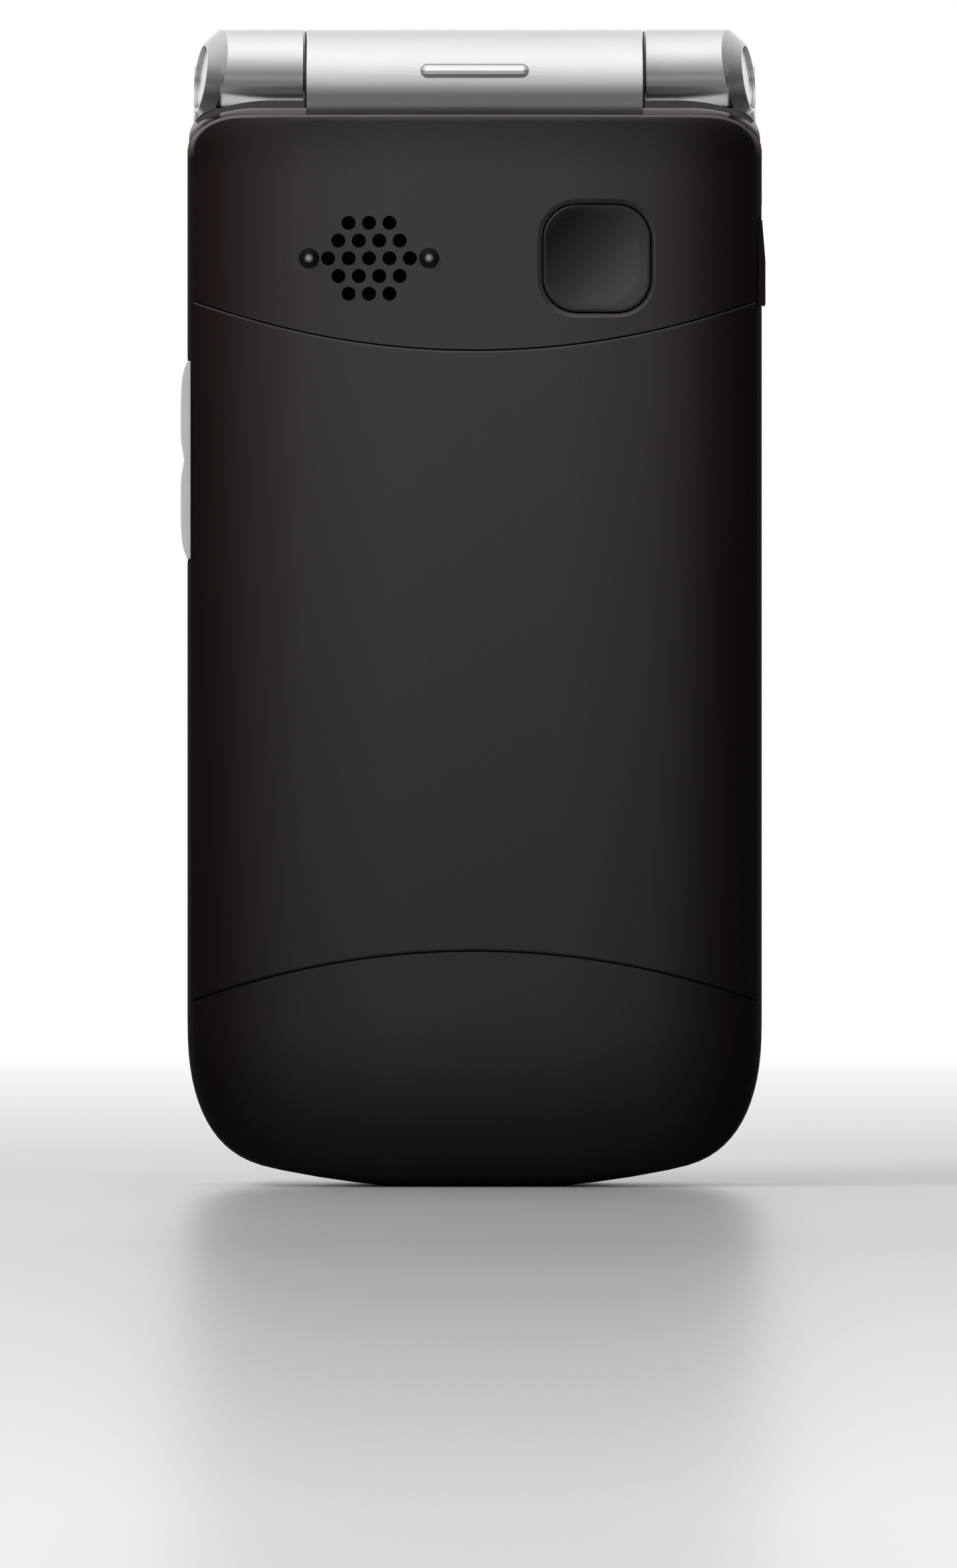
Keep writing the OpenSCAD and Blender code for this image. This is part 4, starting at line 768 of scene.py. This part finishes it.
# Emergency key with a dished face and an eased rim, and the sloped edge of its opening
def square_ring(grow):
    """Points of the key's rounded square, grown all round, as x and z."""
    steps = 10
    half = SOS_W / 2 + grow
    r = max(SOS_R + grow, 0.01)
    found = []
    for k in range(4):
        cx = (half - r) * (1 if k in (0, 3) else -1)
        cz = (half - r) * (1 if k in (0, 1) else -1)
        for i in range(steps + 1):
            a = math.pi / 2 * (k + i / steps)
            found.append((SOS_X + cx + r * math.cos(a), FEATURE_Z + cz + r * math.sin(a)))
    return np.array(found)


def make_key():
    ease = 0.3
    insets = (ease, 0.24, 0.18, 0.12, 0.07, 0.03, 0.01, 0.0)
    centre = np.array([SOS_X, FEATURE_Z])
    y_mid = float(back_y(np.array([SOS_X]), np.array([FEATURE_Z]))[0]) + SOS_SINK
    y_flange, y_rear, flange = -7.34, -6.74, 0.8
    blend = 0.0016
    reach = SOS_W / 2 - SOS_RIM
    dish_r = (reach ** 2 + SOS_DISH ** 2) / (2 * SOS_DISH)
    rings = [centre + (square_ring(-ease) - centre) * share for share in np.linspace(0.02, 0.995, 26)]
    rings += [square_ring(-inset) for inset in insets]
    points = []
    for k, ring in enumerate(rings):
        x, z = ring.T
        out = np.hypot(x - SOS_X, z - FEATURE_Z)
        bowl = y_mid + SOS_DISH - dish_r + np.sqrt(np.maximum(dish_r ** 2 - out ** 2, 0))
        top = back_y(x, z) + SOS_SINK
        y = 0.5 * (top + bowl + np.sqrt((top - bowl) ** 2 + blend))
        if k >= len(rings) - len(insets):
            inset = insets[k - len(rings) + len(insets)]
            y = y + ease - math.sqrt(max(ease ** 2 - (ease - inset) ** 2, 0))
        points += [(a, b, c) for a, b, c in zip(x, y, z)]
    for grow, y in ((0.0, y_flange), (flange, y_flange), (flange, y_rear)):
        points += [(x, y, z) for x, z in square_ring(grow)]
    n = len(rings[0])
    total = len(points) // n
    faces = [tuple(range(n))[::-1]]
    for k in range(total - 1):
        for i in range(n):
            a, b = k * n + i, k * n + (i + 1) % n
            faces.append((a, b, b + n, a + n))
    faces.append(tuple((total - 1) * n + i for i in range(n)))
    make_piece("emergency_key_cap", points, faces, "key_gloss", "emergency_key", "emergency_key", 40.0)


def make_key_surround():
    inner, outer = square_ring(SOS_GAP), square_ring(SOS_GAP + GROOVE_W)
    points = []
    wall, sole = 0.25, 0.02
    section = ((outer, 0.0), (inner, GROOVE_DEPTH),
               (inner, GROOVE_DEPTH + wall), (outer, GROOVE_DEPTH + sole))
    for ring, depth in section:
        x, z = ring.T
        points += list(zip(x, back_y(x, z) + depth, z))
    n = len(inner)
    faces = []
    for k in range(4):
        for i in range(n):
            a, b = k * n + i, k * n + (i + 1) % n
            c, d = (b + n) % (4 * n), (a + n) % (4 * n)
            faces.append((a, b, c, d))
    make_piece("key_surround", points, faces, "black_plastic", "base", None, 40.0)


make_key()
make_key_surround()


# Dark washers in the gaps between the barrel and the knuckles
def make_washers():
    inner, outer, thick, steps = 2.0, KNUCKLE_R - 0.12, 0.15, 48
    for name, side in (("hinge_washer_left", -1), ("hinge_washer_right", 1)):
        x = side * (BARREL_L + KNUCKLE_GAP) / 2
        points = []
        for r, dx in ((inner, -thick), (outer, -thick), (outer, thick), (inner, thick)):
            for i in range(steps):
                a = 2 * math.pi * i / steps
                points.append((x + dx / 2, HINGE_Y + r * math.cos(a), HINGE_Z + r * math.sin(a)))
        faces = []
        for k in range(4):
            for i in range(steps):
                j = (i + 1) % steps
                m = (k + 1) % 4
                faces.append((k * steps + i, k * steps + j, m * steps + j, m * steps + i))
        make_piece(name, points, faces, "dark_plastic", "base")


# Dark strips standing in for the shade in the slits between the saddle and the knuckles, and down its
# corners
def make_wipers():
    x_start, x_bend, x_end = BARREL_L / 2 + KNUCKLE_GAP / 2, 18.5, 25.15
    z_line, drop = 97.85, 2.9
    thick, thin = 0.68, 0.3
    y_front, y_rear, y_corner = -4.75, -2.95, -4.0
    reach = HALF_W - BAND_INSET + 0.05 - x_bend
    path = [(x, z_line, 0.0, 1.0, thick, y_rear) for x in np.linspace(x_start, x_bend, 4)]
    for share in np.sin(np.linspace(0.08, 1.0, 16) * math.pi / 2):
        x = x_bend + share * (x_end - x_bend)
        t = (x - x_bend) / reach
        slope = -drop / reach * t / math.sqrt(1 - t ** 2)
        length = math.hypot(1, slope)
        z = z_line - drop * (1 - math.sqrt(1 - t ** 2))
        rear = y_rear + (y_corner - y_rear) * share
        path.append((x, z, -slope / length, 1 / length, thick + (thin - thick) * share, rear))
    for name, side in (("hinge_gap_shade_left", -1), ("hinge_gap_shade_right", 1)):
        points = []
        for x, z, out_x, out_z, height, rear in path:
            for y, rise in ((y_front, -0.5), (y_front, 0.5), (rear, 0.5), (rear, -0.5)):
                points.append((side * (x + rise * height * out_x), y, z + rise * height * out_z))
        faces = [(0, 1, 2, 3), tuple(len(points) - 4 + i for i in range(4))]
        for k in range(len(path) - 1):
            for i in range(4):
                j = (i + 1) % 4
                faces.append((4 * k + i, 4 * k + j, 4 * k + 4 + j, 4 * k + 4 + i))
        make_piece(name, points, faces, "dark_plastic", "base")


# Indicator, a domed bar along the barrel
def make_indicator():
    bulge, skirt, steps = 0.58, 0.5, 12
    half = PILL_H / 2
    insets = (0.0, 0.008, 0.03, 0.07, 0.13, 0.2, 0.29, 0.38, 0.47, half - 0.005)
    middle = HINGE_Z + PILL_RISE
    rings = [(0.0, -skirt)] + [(d, bulge * math.sqrt(1 - (1 - d / half) ** 2)) for d in insets]
    points = []
    for inset, rise in rings:
        r = half - inset
        for side in (1, -1):
            for i in range(steps + 1):
                a = side * math.pi / 2 - math.pi * i / steps
                x = side * (PILL_L / 2 - half) + r * math.cos(a)
                z = middle + r * math.sin(a)
                points.append((x, HINGE_Y - math.sqrt(BARREL_R ** 2 - (z - BARREL_Z) ** 2) - rise, z))
    n = 2 * (steps + 1)
    faces = [tuple(range(n)), tuple(len(points) - n + i for i in range(n))]
    for k in range(len(rings) - 1):
        for i in range(n):
            a, b = k * n + i, k * n + (i + 1) % n
            faces.append((a, b, b + n, a + n))
    make_piece("indicator_bar", points, faces, "clear_guide", "base", "indicator_lens", 60.0)


make_washers()
make_wipers()
make_indicator()

# Solids that keep their shape
edges = {
    "base_front_case": 0.08, "flip_outer_case": 0.08, "volume_rocker": 0.4, "port_flap": 0.12,
    "hinge_end_caps": 0.12, "keypad_fascia": 0.06, "front_panel": 0.2,
    "display_lens": 0.12, "flip_inner_case": 0.1, "battery": 0.4, "battery_contacts": 0.08,
    "sim_socket": 0.1, "usb_socket": 0.06, "bumpers": 0.1, "main_board": 0.05, "flip_board": 0.05,
    "loudspeaker": 0.12, "emergency_switch": 0.1, "volume_switches": 0.1, "base_screws": 0.06,
    "flip_screws": 0.06, "key_nav": 0.15, "key_ok": 0.2,
}
replaced = {"base_rear_housing", "battery_cover", "emergency_key", "indicator_lens"}
for node in nodes:
    if node in replaced:
        continue
    dress(node, edges.get(node, 0.25 if node.startswith("key_") else 0.0))


# Marks on the keys
def mark_material(name, colour):
    mat, tree, shader = new_material(name)
    lighter = tuple(min(1.0, c * 1.08) for c in colour)
    tree.links.new(colours(tree, noise(tree, 3000.0), colour, lighter), shader.inputs["Base Color"])
    tree.links.new(ramp(tree, noise(tree, 6000.0), 0.38, 0.5), shader.inputs["Roughness"])
    return mat


ink = {
    "white": mark_material("mark_white", (0.80, 0.80, 0.80)),
    "green": mark_material("mark_green", (0.06, 0.45, 0.10)),
    "red": mark_material("mark_red", (0.60, 0.04, 0.03)),
    "dark": mark_material("mark_dark", (0.05, 0.05, 0.055)),
}
TO_KEYPAD = Matrix(((-1, 0, 0, 0), (0, 0, 1, 0), (0, 1, 0, 0), (0, 0, 0, 1)))


def key_centre(node):
    low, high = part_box(node)
    return (low + high) / 2, high.y


def place_mark(obj, node, colour):
    lift = 0.02
    centre, top = key_centre(node)
    obj.data.transform(TO_KEYPAD)
    obj.data.transform(Matrix.Translation((centre.x, top + lift * MM, centre.z)))
    obj.data.materials.clear()
    obj.data.materials.append(ink[colour])
    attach(obj, nodes[node]["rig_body"])


def text_mark(name, words, node, size):
    curve = bpy.data.curves.new(name + "_text", "FONT")
    curve.body = words
    curve.size = size * MM
    curve.extrude = INK_HALF * MM
    curve.align_x = "CENTER"
    curve.align_y = "CENTER"
    source = link(bpy.data.objects.new(name + "_text", curve))
    bpy.context.view_layer.update()
    mesh = bpy.data.meshes.new_from_object(source.evaluated_get(bpy.context.evaluated_depsgraph_get()))
    bpy.data.objects.remove(source)
    box = np.array([v.co for v in mesh.vertices])
    middle = (box.min(0) + box.max(0)) / 2
    mesh.transform(Matrix.Translation((-middle[0], -middle[1], 0)))
    place_mark(link(bpy.data.objects.new(name, mesh)), node, "white")


def flat_mark(name, outlines, node, colour):
    """Thin raised mark from closed outlines, drawn as the user sees the key."""
    bm = bmesh.new()
    for outline in outlines:
        low = [bm.verts.new((x * MM, y * MM, -INK_HALF * MM)) for x, y in outline]
        high = [bm.verts.new((x * MM, y * MM, INK_HALF * MM)) for x, y in outline]
        bm.faces.new(low[::-1])
        bm.faces.new(high)
        for i in range(len(outline)):
            j = (i + 1) % len(outline)
            bm.faces.new((low[i], low[j], high[j], high[i]))
    mesh = bpy.data.meshes.new(name)
    bm.to_mesh(mesh)
    bm.free()
    place_mark(link(bpy.data.objects.new(name, mesh)), node, colour)


def handset():
    """Outline of a plain telephone handset."""
    reach, inner_w, inner_h, foot = 3.0, 1.9, 1.5, 1.7
    turns = np.linspace(math.pi * 0.06, math.pi * 0.94, 17)
    outer = [(reach * math.cos(a), reach * math.sin(a) - 1.4) for a in turns]
    inner = [(inner_w * math.cos(a), inner_h * math.sin(a) - 1.0) for a in turns[::-1]]
    return outer + [(-reach, -foot), (-foot, -foot)] + inner + [(foot, -foot), (reach, -foot)]


digit_size, star_size = 5.2, 7.5
digits = {"key_%d" % k: str(k) for k in range(10)}
digits.update({"key_star": "*", "key_hash": "#"})
for node, words in digits.items():
    text_mark("mark_" + node, words, node, star_size if words == "*" else digit_size)
bar = [(-1.8, -0.3), (1.8, -0.3), (1.8, 0.3), (-1.8, 0.3)]
flat_mark("mark_key_soft_left", [bar], "key_soft_left", "white")
flat_mark("mark_key_soft_right", [bar], "key_soft_right", "white")
flat_mark("mark_key_call", [handset()], "key_call", "green")
flat_mark("mark_key_end", [handset()], "key_end", "red")
arrows = []
for k in range(4):
    turn = k * math.pi / 2
    c, s = math.cos(turn), math.sin(turn)
    arrows.append([(x * c - y * s, x * s + y * c) for x, y in ((-0.9, 5.3), (0.9, 5.3), (0, 6.4))])
flat_mark("mark_key_nav", arrows, "key_nav", "dark")


# Floor, lamp and world
def floor_material():
    """Pale sheet with a soft gloss, whiter far off to the camera, in reflections and through glass."""
    mat, tree, shader = new_material("floor_sheet")
    coord = add(tree, "ShaderNodeTexCoord")
    away = add(tree, "ShaderNodeSeparateXYZ")
    tree.links.new(coord.outputs["Object"], away.inputs[0])
    tree.links.new(colours(tree, noise(tree, 3.0), (0.38, 0.38, 0.38), (0.40, 0.40, 0.40)),
                   shader.inputs["Base Color"])
    shader.inputs["Roughness"].default_value = 0.32
    shader.inputs["IOR"].default_value = 1.6
    path = add(tree, "ShaderNodeLightPath")
    seen = add(tree, "ShaderNodeMath", operation="MAXIMUM")
    tree.links.new(path.outputs["Is Camera Ray"], seen.inputs[0])
    tree.links.new(path.outputs["Is Glossy Ray"], seen.inputs[1])
    also = add(tree, "ShaderNodeMath", operation="MAXIMUM")
    tree.links.new(seen.outputs[0], also.inputs[0])
    tree.links.new(path.outputs["Is Transmission Ray"], also.inputs[1])
    both = add(tree, "ShaderNodeMath", operation="ADD")
    behind, before = (0.5, 0.02, 0.6), (0.3, -0.13, -0.45)
    for k, (level, start, end) in enumerate((behind, before)):
        tree.links.new(ramp(tree, away.outputs["Y"], 0, level, start, end), both.inputs[k])
    glow = add(tree, "ShaderNodeMath", operation="MULTIPLY")
    tree.links.new(also.outputs[0], glow.inputs[0])
    tree.links.new(both.outputs[0], glow.inputs[1])
    shader.inputs["Emission Color"].default_value = (1, 1, 1, 1)
    tree.links.new(glow.outputs[0], shader.inputs["Emission Strength"])
    return mat


def make_floor():
    mesh = bpy.data.meshes.new("floor")
    half = 6.0
    corners = [(-half, -half, 0), (half, -half, 0), (half, half, 0), (-half, half, 0)]
    mesh.from_pydata(corners, [], [(0, 1, 2, 3)])
    mesh.materials.append(floor_material())
    link(bpy.data.objects.new("floor", mesh))


def make_lamp(name, place, aim, size, power):
    data = bpy.data.lights.new(name, "AREA")
    data.size = size
    data.energy = power
    obj = link(bpy.data.objects.new(name, data))
    obj.location = place
    obj.rotation_euler = (Vector(aim) - Vector(place)).to_track_quat("-Z", "Y").to_euler()
    obj.visible_glossy = False


def make_world(base, lobes):
    """Soft studio dome: a base level and broad glows, each with its direction, width and strength."""
    world = bpy.data.worlds.new("studio")
    bpy.context.scene.world = world
    world.use_nodes = True
    tree = world.node_tree
    background = tree.nodes["Background"]
    coord = add(tree, "ShaderNodeTexCoord")
    level = None
    for direction, power, strength in lobes:
        dot = add(tree, "ShaderNodeVectorMath", operation="DOT_PRODUCT")
        tree.links.new(coord.outputs["Generated"], dot.inputs[0])
        dot.inputs[1].default_value = Vector(direction).normalized()
        ahead = add(tree, "ShaderNodeMath", operation="MAXIMUM")
        tree.links.new(dot.outputs["Value"], ahead.inputs[0])
        ahead.inputs[1].default_value = 0.0
        narrow = add(tree, "ShaderNodeMath", operation="POWER")
        tree.links.new(ahead.outputs[0], narrow.inputs[0])
        narrow.inputs[1].default_value = power
        total = add(tree, "ShaderNodeMath", operation="MULTIPLY_ADD")
        tree.links.new(narrow.outputs[0], total.inputs[0])
        total.inputs[1].default_value = strength
        total.inputs[2].default_value = base
        if level:
            tree.links.new(level, total.inputs[2])
        level = total.outputs[0]
    background.inputs["Color"].default_value = (1, 1, 1, 1)
    tree.links.new(level, background.inputs["Strength"])


make_floor()
make_lamp("softbox_key", place=(-0.20, -0.10, 0.24), aim=(0, 0, 0.07), size=0.12, power=0.6)
overhead = ((-0.1, -0.31, 0.95), 2.5, 1.36)
behind = ((0, 1, 0), 1.0, 0.9)
make_world(0.12, (overhead, behind))
bpy.context.scene.view_settings.view_transform = "Standard"
